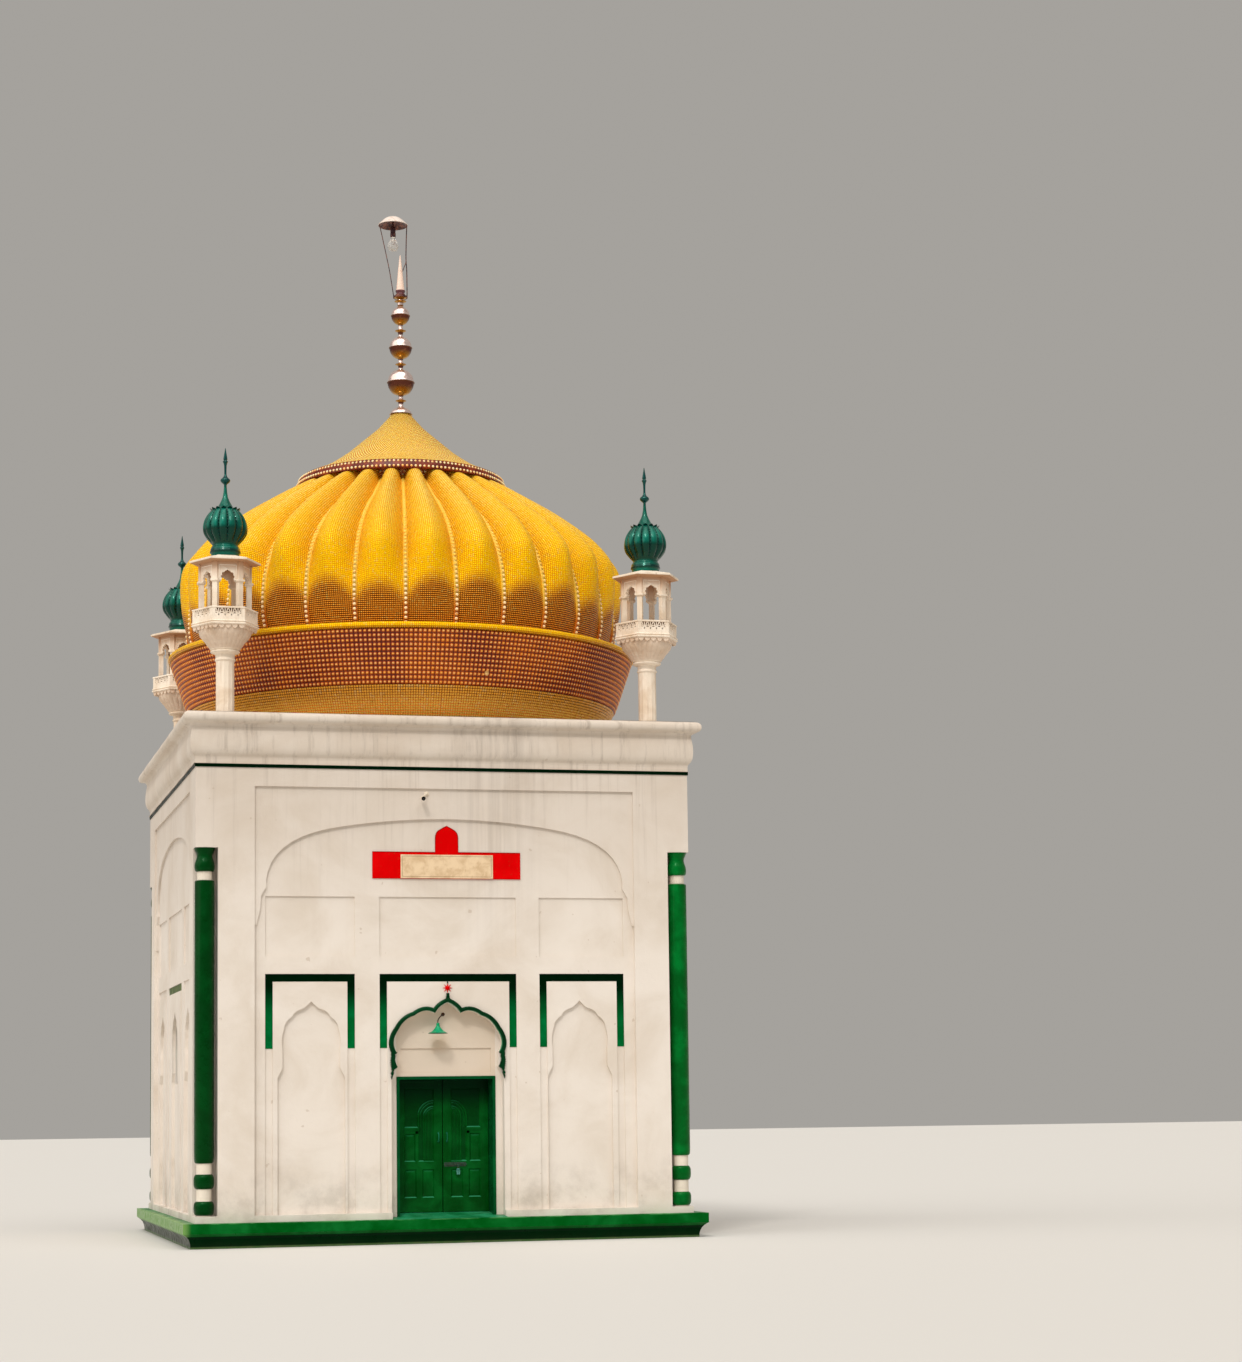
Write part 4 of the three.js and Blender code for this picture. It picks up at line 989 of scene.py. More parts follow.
# Cap: hollow-sided cone of 150 tile columns, which lean by half a tile in each row.
cap_line = curve_through([
    (1.3, 11.4655), (1.3, 11.4655), (1.535, 11.4655), (1.535, 11.4655), (1.516, 11.482), (1.31, 11.567),
    (1.101, 11.682), (0.848, 11.857), (0.613, 12.032), (0.417, 12.217), (0.236, 12.417), (0.152, 12.515),
    (0.152, 12.515), (0.08, 12.52), (0.08, 12.52)
], 7)[:-1]
CAP_COLUMNS = 200
CAP_TILES = 150
cap_part = turned(cap_line, CAP_COLUMNS, ring=True)
cap_length = along_line(cap_line)[:, None]
cap_turn = np.linspace(0, 1, CAP_COLUMNS + 1)[None, :]
leaning = cap_turn * TILE * CAP_TILES + cap_length * 0.5
cap_marks = tile_marks(leaning, cap_length, np.clip((cap_length - 1.15) / 1.2, 0, 0.25))
cap_glaze, colour = tile_glaze(
    "cap_gold_glaze", TILE, tint(255, 246, 120), tint(255, 202, 52), tint(218, 112, 0), tint(255, 252, 196),
    column_gap=0.1
)
coloured(cap_glaze, colour)
ride_piece("dome_cap_cone", [cap_part], cap_glaze, stands_for=["dome_cap"], marks=cap_marks)


# Finial.
# Spun metal: a domed foot, three hollow balls between small double discs, two thin cups, a flange and
# a painted spike. Painted shade turns the bright plating brown on every surface that faces down.
FINIAL_FOOT = 12.5205
NECK = 0.036


def hollow_ball(z, r, neck=NECK):
    """Ball of two spun halves, with a seam round its middle, between two necks."""
    low_half = [
        (neck, z - r - 0.012), (neck + 0.012, z - r * 0.97), (r * 0.62, z - r * 0.8),
        (r * 0.9, z - r * 0.42), (r, z - 0.012)
    ]
    seam = [(r * 1.035, z - 0.008), (r * 1.035, z + 0.006), (r * 0.985, z + 0.012)]
    high_half = [
        (r * 0.88, z + r * 0.47), (r * 0.6, z + r * 0.81), (neck + 0.012, z + r * 0.98),
        (neck, z + r + 0.012)
    ]
    return low_half + seam + high_half


def double_disc(z, r):
    """Two thin cones base to base on the neck."""
    half = [(NECK, 0.05), (0.04, 0.032), (r * 0.6, 0.018), (r, 0.004)]
    return [(w, z - h) for w, h in half] + [(w, z + h) for w, h in half[::-1]]


finial_line = [
    (0, FINIAL_FOOT), (0.166, FINIAL_FOOT), (0.17, 12.53), (0.16, 12.56), (0.125, 12.6), (0.075, 12.63),
    (0.045, 12.645), (0.037, 12.67)
]
finial_line += double_disc(12.742, 0.08) + hollow_ball(13.03, 0.206)
finial_line += double_disc(13.318, 0.08) + hollow_ball(13.58, 0.175)
finial_line += double_disc(13.85, 0.082) + hollow_ball(14.09, 0.144, 0.034)
finial_line += [
    (0.046, 14.25), (0.046, 14.285), (0.05, 14.3), (0.086, 14.315), (0.088, 14.324), (0.05, 14.334),
    (0.04, 14.35), (0.098, 14.375), (0.1, 14.384), (0.1, 14.392), (0.05, 14.398), (0.048, 14.41)
]
finial_curve = curve_through(finial_line, 4)
SPIKE_SPLIT = 14.41
finial_curve = finial_curve[finial_curve[:, 1] <= SPIKE_SPLIT]
finial_curve = np.concatenate([
    [[0.0, FINIAL_FOOT]], finial_curve[finial_curve[:, 0] > 0.03], [[0.0, SPIKE_SPLIT]]
])
FINIAL_SIDES = 40
step = np.gradient(finial_curve, axis=0)
facing_up = -step[:, 0] / np.maximum(np.linalg.norm(step, axis=1), 1e-9)
up_marks = np.concatenate([np.repeat(facing_up[1:-1], FINIAL_SIDES), facing_up[:1], facing_up[-1:]])
plated = finish("finial_plating", 0.2, 0.85)
here = place(plated)
# Painted shade: brown where the surface faces down, pale where it faces up.
up_mark = marked(plated, "facing_up")
wobble = plus(plated, up_mark, reckon(plated, "MULTIPLY_ADD", noise(plated, here, 7, 4), 0.3, -0.15))
underside_shade_brown = layer(plated, span(plated, wobble, -0.95, -0.3), tint(176, 128, 40), tint(92, 48, 34))
colour = layer(plated, span(plated, wobble, -0.14, 0.06), underside_shade_brown, tint(238, 214, 206))
colour = layer(plated, patches(plated, here, 0.56, 0.7, 22, 5), colour, tint(150, 96, 66), 0.5)
coloured(plated, colour)
use(plated, "Roughness", span(plated, noise(plated, here, 13, 4), 0.3, 0.7, 0.12, 0.34))
ride_piece(
    "finial_balls", [turned(finial_curve, FINIAL_SIDES)], plated, stands_for=["finial"],
    marks={"facing_up": up_marks}, crease=40
)
spike_line = [
    (0, 14.4105), (0.048, 14.4105), (0.075, 14.425), (0.06, 14.45), (0.075, 14.475), (0.075, 14.49),
    (0.066, 14.492), (0.052, 14.62), (0.036, 14.79), (0.019, 14.95), (0.006, 15.055), (0, 15.06)
]
spike_paint = finish("spike_enamel", 0.35, coat=0.2)
here = place(spike_paint)
spike_height = axis(spike_paint, here, 2)
colour = layer(
    spike_paint, span(spike_paint, spike_height, 14.489, 14.493), tint(96, 40, 48), tint(244, 214, 196)
)
colour = layer(spike_paint, patches(spike_paint, here, 0.55, 0.72, 18, 5), colour, tint(198, 160, 140))
coloured(spike_paint, colour)
relief(spike_paint, noise(spike_paint, here, 40, 3), 0.002, 0.5)
ride_piece("finial_spike", [turned(spike_line, 32)], spike_paint, crease=30)


# Lamp over the finial.
# A pressed enamel dish shade on two bent iron rods that spring from the flange under the spike, with a
# lamp holder and a clear bulb; white outside, rusty dark underneath.
LAMP_X = -0.111


def tube(path, radius, sides=8, up=(0, 1, 0)):
    """Round bar along a path of points: at each point a circle square to the path; radius may be one
    number or one for each point. Both ends are closed."""
    path = np.asarray(path, float)
    along = np.gradient(path, axis=0)
    along /= np.linalg.norm(along, axis=1, keepdims=True)
    side = np.cross(along, np.asarray(up, float))
    side /= np.linalg.norm(side, axis=1, keepdims=True)
    third = np.cross(side, along)
    f = np.arange(sides) / sides * 2 * math.pi
    size = np.broadcast_to(np.asarray(radius, float), len(path))[:, None, None]
    ring = np.cos(f)[None, :, None] * side[:, None] - np.sin(f)[None, :, None] * third[:, None]
    points = (path[:, None] + ring * size).reshape(-1, 3)
    return points, [grid_quads(len(path), sides), *end_faces(len(path), sides)]


dish_line = curve_through([
    (0, 15.596), (0.05, 15.595), (0.13, 15.572), (0.195, 15.54), (0.222, 15.523), (0.226, 15.523),
    (0.2265, 15.528), (0.2265, 15.533), (0.2, 15.56), (0.16, 15.6), (0.12, 15.632), (0.07, 15.655),
    (0, 15.668)
], 4)
dish_line[0], dish_line[-1] = (0, 15.596), (0, 15.668)
enamel, here = mottled(
    "lamp_enamel_white", tint(240, 224, 212), tint(196, 158, 138), 0.5, 0.72, (11, 5), 0.3, coat=0.4
)
relief(enamel, noise(enamel, here, 24, 3), 0.002, 0.4)
ride_piece(
    "lamp_dish", [turned(dish_line, 48, (LAMP_X, 0))], enamel, stands_for=["finial_lamp"],
    crease=50
)
iron, here = mottled("lamp_iron", tint(58, 36, 42), tint(128, 84, 72), 0.4, 0.62, (15, 6), 0.5, metallic=0.6)
relief(iron, noise(iron, here, 70, 4), 0.001, 0.7)
under_line = [
    (0, 15.587), (0.05, 15.586), (0.13, 15.563), (0.19, 15.531), (0.2255, 15.519), (0.2255, 15.5215),
    (0.2225, 15.5215), (0.195, 15.5375), (0.13, 15.5695), (0.05, 15.5925), (0, 15.5935)
]
left_rod = curve_through([
    (-0.104, 0, 14.386), (-0.115, 0, 14.46), (-0.165, 0, 14.78), (-0.205, 0, 14.98), (-0.262, 0, 15.25),
    (-0.322, 0, 15.524)
], 6)
right_rod = curve_through([
    (0.104, 0, 14.386), (0.106, 0, 14.46), (0.103, 0, 14.8), (0.092, 0, 15.0), (0.096, 0, 15.25),
    (0.106, 0, 15.524)
], 6)
brace = curve_through([
    (0.036, -0.012, 14.8), (0.06, -0.014, 14.87), (0.088, -0.01, 14.95), (0.0935, -0.004, 15.06)
], 5)
clip = [(0.1005, 14.372), (0.112, 14.374), (0.114, 14.386), (0.112, 14.398), (0.1005, 14.4)]
holder = [
    (0, 15.336), (0.036, 15.336), (0.043, 15.35), (0.043, 15.4), (0.036, 15.41), (0.041, 15.42),
    (0.041, 15.47), (0.03, 15.5), (0.016, 15.51), (0.014, 15.583), (0, 15.583)
]
irons = [
    turned(under_line, 48, (LAMP_X, 0)), tube(left_rod, 0.0065), tube(right_rod, 0.008), tube(brace, 0.006),
    turned(clip, 32, ring=True), turned(holder, 24, (LAMP_X, 0))
]
ride_piece("lamp_irons", irons, iron, crease=40)
bulb_line = curve_through([
    (0, 15.112), (0.03, 15.116), (0.06, 15.133), (0.082, 15.168), (0.085, 15.2), (0.072, 15.245),
    (0.046, 15.285), (0.033, 15.31), (0.033, 15.334), (0, 15.3345)
], 4)
bulb_line[0], bulb_line[-1] = (0, 15.112), (0, 15.3345)
glass, _ = mottled("lamp_clear_glass", tint(252, 250, 246), tint(224, 212, 204), 0.45, 0.7, (14, 3), 0.04)
sockets(glass)["Transmission Weight"].default_value = 0.82
sockets(glass)["IOR"].default_value = 1.3
ride_piece(
    "lamp_bulb_glass", [turned(bulb_line, 32, (LAMP_X, 0))], glass, stands_for=["lamp_bulb"],
    crease=60
)
filament = curve_through([
    (LAMP_X - 0.018, 0, 15.33), (LAMP_X - 0.02, 0, 15.24), (LAMP_X, 0, 15.21), (LAMP_X + 0.02, 0, 15.24),
    (LAMP_X + 0.018, 0, 15.33)
], 5)
ride_piece("lamp_filament", [tube(filament, 0.0035, 6)], iron, crease=60)


# Minarets.
# Cast in lime plaster over brick: round shaft with shallow flutes, two rings and a petalled bowl under
# a six-sided balcony with a carved rail, six square posts with cusped arches and a thin eave. The
# plaster is warm grey, with painted shade making it browner where it faces down.
MINARET_AT = 3.05
SIDES = 6
FACET = 2 * math.pi / SIDES


def facet_factor(angles, body):
    """How much further out a six-sided wall stands at an angle than at the middle of its side."""
    return 1 / np.cos((angles + FACET / 2) % FACET - FACET / 2) + 0 * body[:, :1]


def fluted_factor(angles, body):
    """Twelve shallow flutes in the shaft, 7 mm deep, between plain foot and head."""
    tall = np.interp(body[:, 1:], [7.2, 7.23, 8.03, 8.06], [0, 1, 1, 0])
    return 1 - 0.007 / body[:, :1] * tall * np.clip(1.6 * np.abs(np.cos(6 * angles)) - 0.3, 0, 1) ** 0.5


def petal_factor(angles, body):
    """Upright petals round the bowl, 24 in a tier, deepest in the middle of the bowl."""
    tier = np.interp(body[:, 1:], [8.25, 8.28, 8.44, 8.47], [0, 1, 1, 0])
    return 1 - 0.035 * tier * (1 - np.abs(np.sin(12 * angles)) ** 0.6)


def swung(part, angle, at):
    """The part turned about the Z axis and moved to a minaret."""
    points, faces = part
    x = points[:, 0] * math.cos(angle) - points[:, 1] * math.sin(angle) + at[0]
    y = points[:, 0] * math.sin(angle) + points[:, 1] * math.cos(angle) + at[1]
    return np.stack([x, y, points[:, 2]], 1), faces


def bar(start, end, width, front, back):
    """Straight bar between two points of the wall plane, as a prism between two depths."""
    a, b = np.array(start), np.array(end)
    side = np.array([b[1] - a[1], a[0] - b[0]]) * width / 2 / np.linalg.norm(b - a)
    return prism([a - side, b - side, b + side, a + side], front, back)


SHAFT = [
    (0, 7.0003), (0.154, 7.0003), (0.154, 7.095), (0.148, 7.112), (0.134, 7.13), (0.129, 7.15),
    (0.129, 7.19), (0.129, 7.23), (0.129, 7.6), (0.129, 8.03), (0.129, 8.085), (0.138, 8.09), (0.1445, 8.1),
    (0.1445, 8.112), (0.138, 8.12), (0.134, 8.126), (0.134, 8.182), (0.142, 8.19), (0.17, 8.196),
    (0.196, 8.204), (0.206, 8.214), (0.206, 8.222), (0.196, 8.232), (0.176, 8.24), (0, 8.24)
]
BOWL = [
    (0, 8.236), (0.186, 8.238), (0.206, 8.25), (0.217, 8.262), (0.23, 8.282), (0.246, 8.303), (0.254, 8.31),
    (0.262, 8.325), (0.281, 8.352), (0.3, 8.373), (0.31, 8.38), (0.32, 8.396), (0.338, 8.416),
    (0.352, 8.436), (0.36, 8.46), (0.366, 8.48), (0.369, 8.5), (0.369, 8.56), (0, 8.56)
]
TRAY = [
    (0, 8.548), (0.386, 8.548), (0.392, 8.556), (0.408, 8.56), (0.412, 8.569), (0.408, 8.578),
    (0.396, 8.582), (0.396, 8.59), (0.407, 8.594), (0.41, 8.602), (0.404, 8.61), (0.394, 8.614),
    (0.394, 8.668), (0.362, 8.668), (0.362, 8.64), (0, 8.64)
]
RAIL = [(0.362, 8.778), (0.396, 8.778), (0.402, 8.782), (0.402, 8.797), (0.396, 8.803), (0.362, 8.803)]
EAVE = [
    (0, 9.444), (0.322, 9.444), (0.328, 9.45), (0.42, 9.462), (0.43, 9.467), (0.432, 9.479), (0.43, 9.491),
    (0.408, 9.5), (0.24, 9.546), (0.21, 9.5598), (0, 9.5598)
]
RAIL_FACE = -0.394
RAIL_BACK = RAIL_FACE + 0.03
FACE_HALF = -RAIL_FACE * math.tan(FACET / 2)
RAIL_LOW, RAIL_HIGH = 8.668, 8.778
ARCH_FOOT, ARCH_HEAD, ARCH_HALF = 9.186, 9.447, 0.158
ARCH_FACE = -0.314
POST_AT = -0.331

# One side, as seen from outside: scallops, carved rail panel, arch plate with its sunk frame.
facet = []
drop_turn = np.linspace(0, math.pi, 9)
for middle in np.linspace(-1, 1, 5) * (FACE_HALF - 0.042):
    outline = np.stack([middle + 0.04 * np.cos(drop_turn), 8.553 - 0.052 * np.sin(drop_turn)], 1)
    facet.append(prism(outline[::-1], RAIL_FACE + 0.004, RAIL_BACK))
END = 0.05
panel = FACE_HALF - END
for a, b in ((-FACE_HALF, -panel), (panel, FACE_HALF)):
    low, high = RAIL_LOW - 0.001, RAIL_HIGH + 0.001
    facet.append(prism([(a, low), (b, low), (b, high), (a, high)], RAIL_FACE, RAIL_BACK))
FANS = 4
half_fan = panel / FANS
CARVED_BACK = RAIL_FACE + 0.014
for fan in range(FANS):
    foot = (2 * fan + 1) * half_fan - panel
    for lean in (-0.9, 0.0, 0.9):
        tip = (foot + lean * half_fan, RAIL_HIGH)
        facet.append(bar((foot, RAIL_LOW + 0.004), tip, 0.012, RAIL_FACE + 0.001, CARVED_BACK))
    for end in (foot - half_fan, foot + half_fan):
        facet.append(bar((end, 8.728), (foot, 8.7), 0.011, RAIL_FACE + 0.002, CARVED_BACK))
facet.append(bar((-panel, 8.686), (panel, 8.686), 0.036, RAIL_FACE + 0.003, CARVED_BACK))
half_arch = [
    (0.088, ARCH_FOOT), (0.08, 9.206), (0.094, 9.226), (0.094, 9.246), (0.078, 9.26), (0.082, 9.28),
    (0.068, 9.298), (0.046, 9.298), (0.04, 9.314), (0.02, 9.322), (0, 9.336)
]
arch = [(-ARCH_HALF, ARCH_FOOT), (-ARCH_HALF, ARCH_HEAD), (ARCH_HALF, ARCH_HEAD), (ARCH_HALF, ARCH_FOOT)]
arch += half_arch + [(-u, z) for u, z in half_arch[-2::-1]]
facet.append(prism(arch, ARCH_FACE, ARCH_FACE + 0.04))
for a, b in (
    ((-0.118, 9.215), (-0.118, 9.402)), ((0.118, 9.215), (0.118, 9.402)), ((-0.122, 9.398), (0.122, 9.398)),
):
    facet.append(bar(a, b, 0.009, ARCH_FACE - 0.005, ARCH_FACE + 0.002))

# The sunk ground behind the carving of one side's rail, coloured dark brown as painted shade in the
# carving's hollows.
half = FACE_HALF - 0.01
ground = prism([
    (-half, RAIL_LOW), (half, RAIL_LOW), (half, RAIL_HIGH), (-half, RAIL_HIGH)
], RAIL_FACE + 0.013, RAIL_FACE + 0.02)

# One corner post, square, with a foot and a cap, standing on the balcony's floor.
POST = (
    (0.046, 8.638, 8.7), (0.036, 8.7, 9.16), (0.044, 9.16, 9.172), (0.056, 9.172, 9.198),
    (0.038, 9.198, 9.446)
)
post = []
for half, low, high in POST:
    post.append(
        prism([(-half, low), (half, low), (half, high), (-half, high)], POST_AT - half, POST_AT + half)
    )

cast = finish("minaret_plaster", 0.8)
here = place(cast)
clouds = patches(cast, here, 0.35, 0.7, 2.4, 6, 0.6, 0.4)
colour = layer(cast, clouds, tint(244, 230, 212), tint(222, 200, 174))
drips = patches(cast, place(cast, (16, 16, 1.4)), 0.52, 0.8, 1.0, 5, 0.7)
colour = layer(cast, drips, colour, tint(160, 128, 98), 0.45)
# Painted shade: the soffit mark browns the eave's underside and the bowl.
soffit = marked(cast, "soffit")
coloured(cast, layer(cast, soffit, colour, tint(188, 142, 104)))
relief(cast, noise(cast, here, 34, 4), 0.004, 0.5)
# Painted shade: the sunk ground behind the rail's carving is dark brown.
rail_shade_ground, _ = mottled("minaret_rail_shade_ground", tint(84, 60, 44), tint(140, 108, 86), 0.4, 0.65, (30, 4), 0.85)
for name, sx, sy in CORNERS:
    at = (MINARET_AT * sx, MINARET_AT * sy)
    parts = [
        turned(SHAFT, 96, at, swell=fluted_factor),
        turned(BOWL, 192, at, swell=petal_factor),
        turned(TRAY, SIDES, at, FACET / 2, swell=facet_factor),
        turned(RAIL, SIDES, at, FACET / 2, ring=True, swell=facet_factor),
        turned(EAVE, SIDES, at, FACET / 2, swell=facet_factor),
    ]
    for side in range(SIDES):
        parts += [swung(piece, side * FACET, at) for piece in facet]
        parts += [swung(piece, (side + 0.5) * FACET, at) for piece in post]
    height = np.concatenate([p[:, 2] for p, _ in parts])
    under_eave, on_bowl = (height > 9.443) & (height < 9.466), (height > 8.25) & (height < 8.555)
    ride_piece(
        f"minaret_{name}_masonry", parts, cast, stands_for=[f"minaret_{name}"], crease=35,
        marks={"soffit": under_eave * 1.0 + on_bowl * 0.35}
    )
    grounds = [swung(ground, side * FACET, at) for side in range(SIDES)]
    ride_piece(f"minaret_{name}_rail_ground", grounds, rail_shade_ground)


# Onion tops.
# Ribbed sheet bulbs in teal gloss paint, with painted shade below the seam, studded seams between the
# ribs, a ring of leaf tips where the hollow stem starts, and a turned spike of bead, cup and cone.
RIBS = 14
ONION = [
    (0, 9.5603), (0.196, 9.5603), (0.196, 9.6), (0.204, 9.612), (0.214, 9.622), (0.214, 9.64),
    (0.206, 9.65), (0.206, 9.676), (0.198, 9.692), (0.184, 9.712), (0.18, 9.728), (0.184, 9.742)
]
BULB = curve_through([
    (0.184, 9.742), (0.222, 9.78), (0.262, 9.828), (0.294, 9.876), (0.309, 9.925), (0.313, 9.975),
    (0.306, 10.035), (0.285, 10.1), (0.25, 10.16), (0.212, 10.208), (0.18, 10.24)
], 3)
STEM = [
    (0.15, 10.246), (0.11, 10.275), (0.082, 10.322), (0.058, 10.368), (0.038, 10.42), (0.026, 10.49),
    (0.02, 10.56), (0.019, 10.6), (0.034, 10.616), (0.056, 10.632), (0.067, 10.65), (0.069, 10.664),
    (0.06, 10.682), (0.04, 10.698), (0.026, 10.716), (0.017, 10.745), (0.016, 10.8), (0.018, 10.87),
    (0.023, 10.9), (0.03, 10.918), (0.038, 10.93), (0.03, 10.942), (0.022, 10.952), (0.029, 10.962),
    (0.029, 10.972), (0.021, 11.02), (0.012, 11.07), (0.004, 11.125), (0, 11.127)
]
onion_line = np.concatenate([ONION, BULB[1:], STEM])


def ribbed(angles, body):
    """Round ribs on the bulb: the sine of half the rib count times the angle, 0 in the seams."""
    on_bulb = np.interp(body[:, 1:], [9.74, 9.8, 10.18, 10.24], [0, 1, 1, 0])
    return 1 - 0.1 * on_bulb * (1 - np.abs(np.sin(RIBS / 2 * angles)) ** 0.7)


teal_paint, here, colour = gloss_paint(
    "onion_teal_paint", tint(0, 74, 60), tint(10, 116, 98), 0.24, 0.25, 0.5, tint(90, 230, 200)
)
height = axis(teal_paint, here, 2)
# Painted shade: the lower half of the bulb is coloured nearly black-green.
low_half = span(teal_paint, height, 10.0, 9.92)
colour = layer(
    teal_paint, times(teal_paint, low_half, span(teal_paint, height, 9.7, 9.76)), colour, tint(0, 34, 22)
)
colour = layer(teal_paint, span(teal_paint, height, 10.54, 10.62), colour, tint(8, 44, 52), 0.85)
seam = marked(teal_paint, "seam")
coloured(teal_paint, layer(teal_paint, seam, colour, tint(0, 22, 22)))
COLUMNS = RIBS * 8
bulb_angle = np.arange(COLUMNS) / COLUMNS * 2 * math.pi
seam_mark = np.clip(1.25 - np.abs(np.sin(RIBS / 2 * bulb_angle)) / 0.5, 0, 1)[None, :]
ring_rows = np.interp(onion_line[1:-1, 1], [9.742, 9.79, 10.2, 10.245], [0, 1, 1, 0.4])[:, None]
band_rows = np.interp(
    onion_line[1:-1, 1], [9.6, 9.62, 9.65, 9.66], [0.1, 0.9, 0.9, 0.1]
)[:, None] * np.ones_like(seam_mark)
onion_seams = np.concatenate([
    np.maximum(ring_rows * seam_mark, band_rows * (onion_line[1:-1, 1:] < 9.7)).ravel(), [0, 0]
])
bulb_run = along_line(BULB)
stud_s = np.linspace(bulb_run[3], bulb_run[-4], 11)
stud_turn = np.arange(RIBS) / RIBS * 2 * math.pi
stud_r = np.interp(stud_s, bulb_run, BULB[:, 0])[None, :] * 0.935
stud_x = (stud_r * np.sin(stud_turn)[:, None]).ravel()
stud_y = (-stud_r * np.cos(stud_turn)[:, None]).ravel()
stud_z = np.tile(np.interp(stud_s, bulb_run, BULB[:, 1]), RIBS)
stud_at = np.stack([stud_x, stud_y, stud_z], 1)
stud_out = np.stack([stud_x, stud_y, (stud_z - 9.97) * 0.9], 1)
# Leaf tips: thin pointed plates that lean out from the foot of the stem.
LEAF_TIP = [(-0.03, 0.0), (0.03, 0.0), (0.034, 0.022), (0, 0.052), (-0.034, 0.022)]
points, faces = prism(LEAF_TIP, -0.003, 0.003)
lean_out = 0.178 + points[:, 2] * 0.75 - points[:, 1]
leaf_tip = (np.stack([points[:, 0], -lean_out, 10.226 + points[:, 2] * 0.6], 1), faces)
onion_trim, _, _ = gloss_paint("onion_dark_trim", tint(0, 46, 44), tint(4, 70, 62), 0.3, 0.1, 0.35)
for name, sx, sy in CORNERS:
    at = (MINARET_AT * sx, MINARET_AT * sy)
    shift = np.array([at[0], at[1], 0])
    bulb_part = turned(onion_line, COLUMNS, at, swell=ribbed)
    ride_piece(
        f"onion_{name}_bulb", [bulb_part], teal_paint, stands_for=[f"onion_{name}"],
        crease=45, marks={"seam": onion_seams}
    )
    trim = [bead_cups(stud_at + shift, stud_out, 0.0085, 6, 2)]
    trim += [swung(leaf_tip, (k + 0.5) / RIBS * 2 * math.pi, at) for k in range(RIBS)]
    ride_piece(f"onion_{name}_studs", trim, onion_trim, crease=60)


# Door frame and leaves.
# Painted hardwood in dark green gloss: each leaf is boards with stiles, rails and raised, bevelled
# panels; two half-round mouldings follow the arch that the pair makes, with reeds inside it.
door_paint, here, colour = gloss_paint("door_green_paint", tint(0, 62, 8), tint(6, 92, 30), 0.36, 0.06, 0.28)
scuffs = patches(door_paint, place(door_paint, (9, 9, 2.2)), 0.6, 0.8, 1.0, 5, 0.65)
colour = layer(door_paint, scuffs, colour, tint(24, 110, 52), 0.35)
ledge_highlight = marked(door_paint, "ledge_highlight")
field = marked(door_paint, "field")
# Painted shade: the sunk fields behind the leaf's face are darker.
colour = layer(door_paint, field, colour, tint(0, 20, 0), 0.5)
height = axis(door_paint, here, 2)
# Painted shade: the upper part of each leaf, under the doorway's deep head, darkens to near black.
colour = layer(door_paint, span(door_paint, height, 1.8, 2.16, 0.0, 0.93), colour, tint(0, 12, 2))
# Painted highlight: faces that look up and to the left are lightened to teal.
coloured(
    door_paint, layer(door_paint, span(door_paint, ledge_highlight, 0.5, 0.85, 0, 0.7), colour, tint(52, 146, 104))
)
frame_paint, _, _ = gloss_paint("frame_green_paint", tint(0, 66, 30), tint(4, 92, 44), 0.34, 0.06, 0.28)
cad_finish(frame_paint, "door_frame")
sill_paint, here, colour = gloss_paint(
    "sill_green_paint", tint(6, 104, 56), tint(44, 150, 104), 0.4, shine=0.2
)
scraped = patches(sill_paint, place(sill_paint, (2.5, 30, 30)), 0.5, 0.75, 1.0, 5, 0.65)
coloured(sill_paint, layer(sill_paint, scraped, colour, tint(104, 172, 136), 0.6))
cad_finish(sill_paint, "door_sill")
LEAF_FACE = -3.0
BACK_FACE = -2.955
FIELD_FACE = LEAF_FACE + 0.016
LEAF_FOOT, LEAF_TOP = 0.4105, 2.2435
ARCH_U, ARCH_Z = 0.12, 1.729
BOARD_BACK = FIELD_FACE + 0.002


def raised_panel(low_u, high_u, low_z, high_z, bevel=0.022, top=0.01):
    """Panel that rises from the field by top, with sides sloping in by bevel."""
    u = np.array([low_u, high_u, high_u, low_u])
    z = np.array([low_z, low_z, high_z, high_z])
    step = bevel * np.array([[1, 1], [-1, 1], [-1, -1], [1, -1]])
    rings = [
        np.stack([u, np.full(4, FIELD_FACE + 0.001), z], 1),
        np.stack([u, np.full(4, FIELD_FACE - 0.003), z], 1),
        np.stack([u + step[:, 0], np.full(4, FIELD_FACE - top), z + step[:, 1]], 1),
    ]
    return np.concatenate(rings), [grid_quads(3, 4), np.array([[3, 2, 1, 0]]), np.array([[8, 9, 10, 11]])]


def inside_out(faces):
    """The same faces, looking the other way."""
    return [f[:, ::-1] for f in faces]


def arch_bead(radius, half, foot):
    """Half-round moulding: a straight leg up from the foot, then a quarter of a circle to the stile."""
    bend = np.linspace(0, math.pi / 2, 17)
    path_u = np.concatenate([[ARCH_U + radius], ARCH_U + radius * np.cos(bend)])
    path_z = np.concatenate([[foot], ARCH_Z + radius * np.sin(bend)])
    turn = np.linspace(0, math.pi, 7)
    along = np.gradient(np.stack([path_u, path_z], 1), axis=0)
    along /= np.linalg.norm(along, axis=1, keepdims=True)
    side = np.stack([along[:, 1], -along[:, 0]], 1)
    u = path_u[:, None] + half * np.cos(turn)[None, :] * side[:, :1]
    z = path_z[:, None] + half * np.cos(turn)[None, :] * side[:, 1:]
    y = FIELD_FACE + 0.001 - half * 1.1 * np.sin(turn)[None, :] + 0 * u
    points = np.stack([u, y, z], -1)
    return points.reshape(-1, 3), inside_out([grid_quads(len(path_u), 7), *end_faces(len(path_u), 7)])


def slab(low_u, high_u, low_z, high_z, front, back):
    """Flat board between two planes."""
    return prism([(low_u, low_z), (high_u, low_z), (high_u, high_z), (low_u, high_z)], front, back)


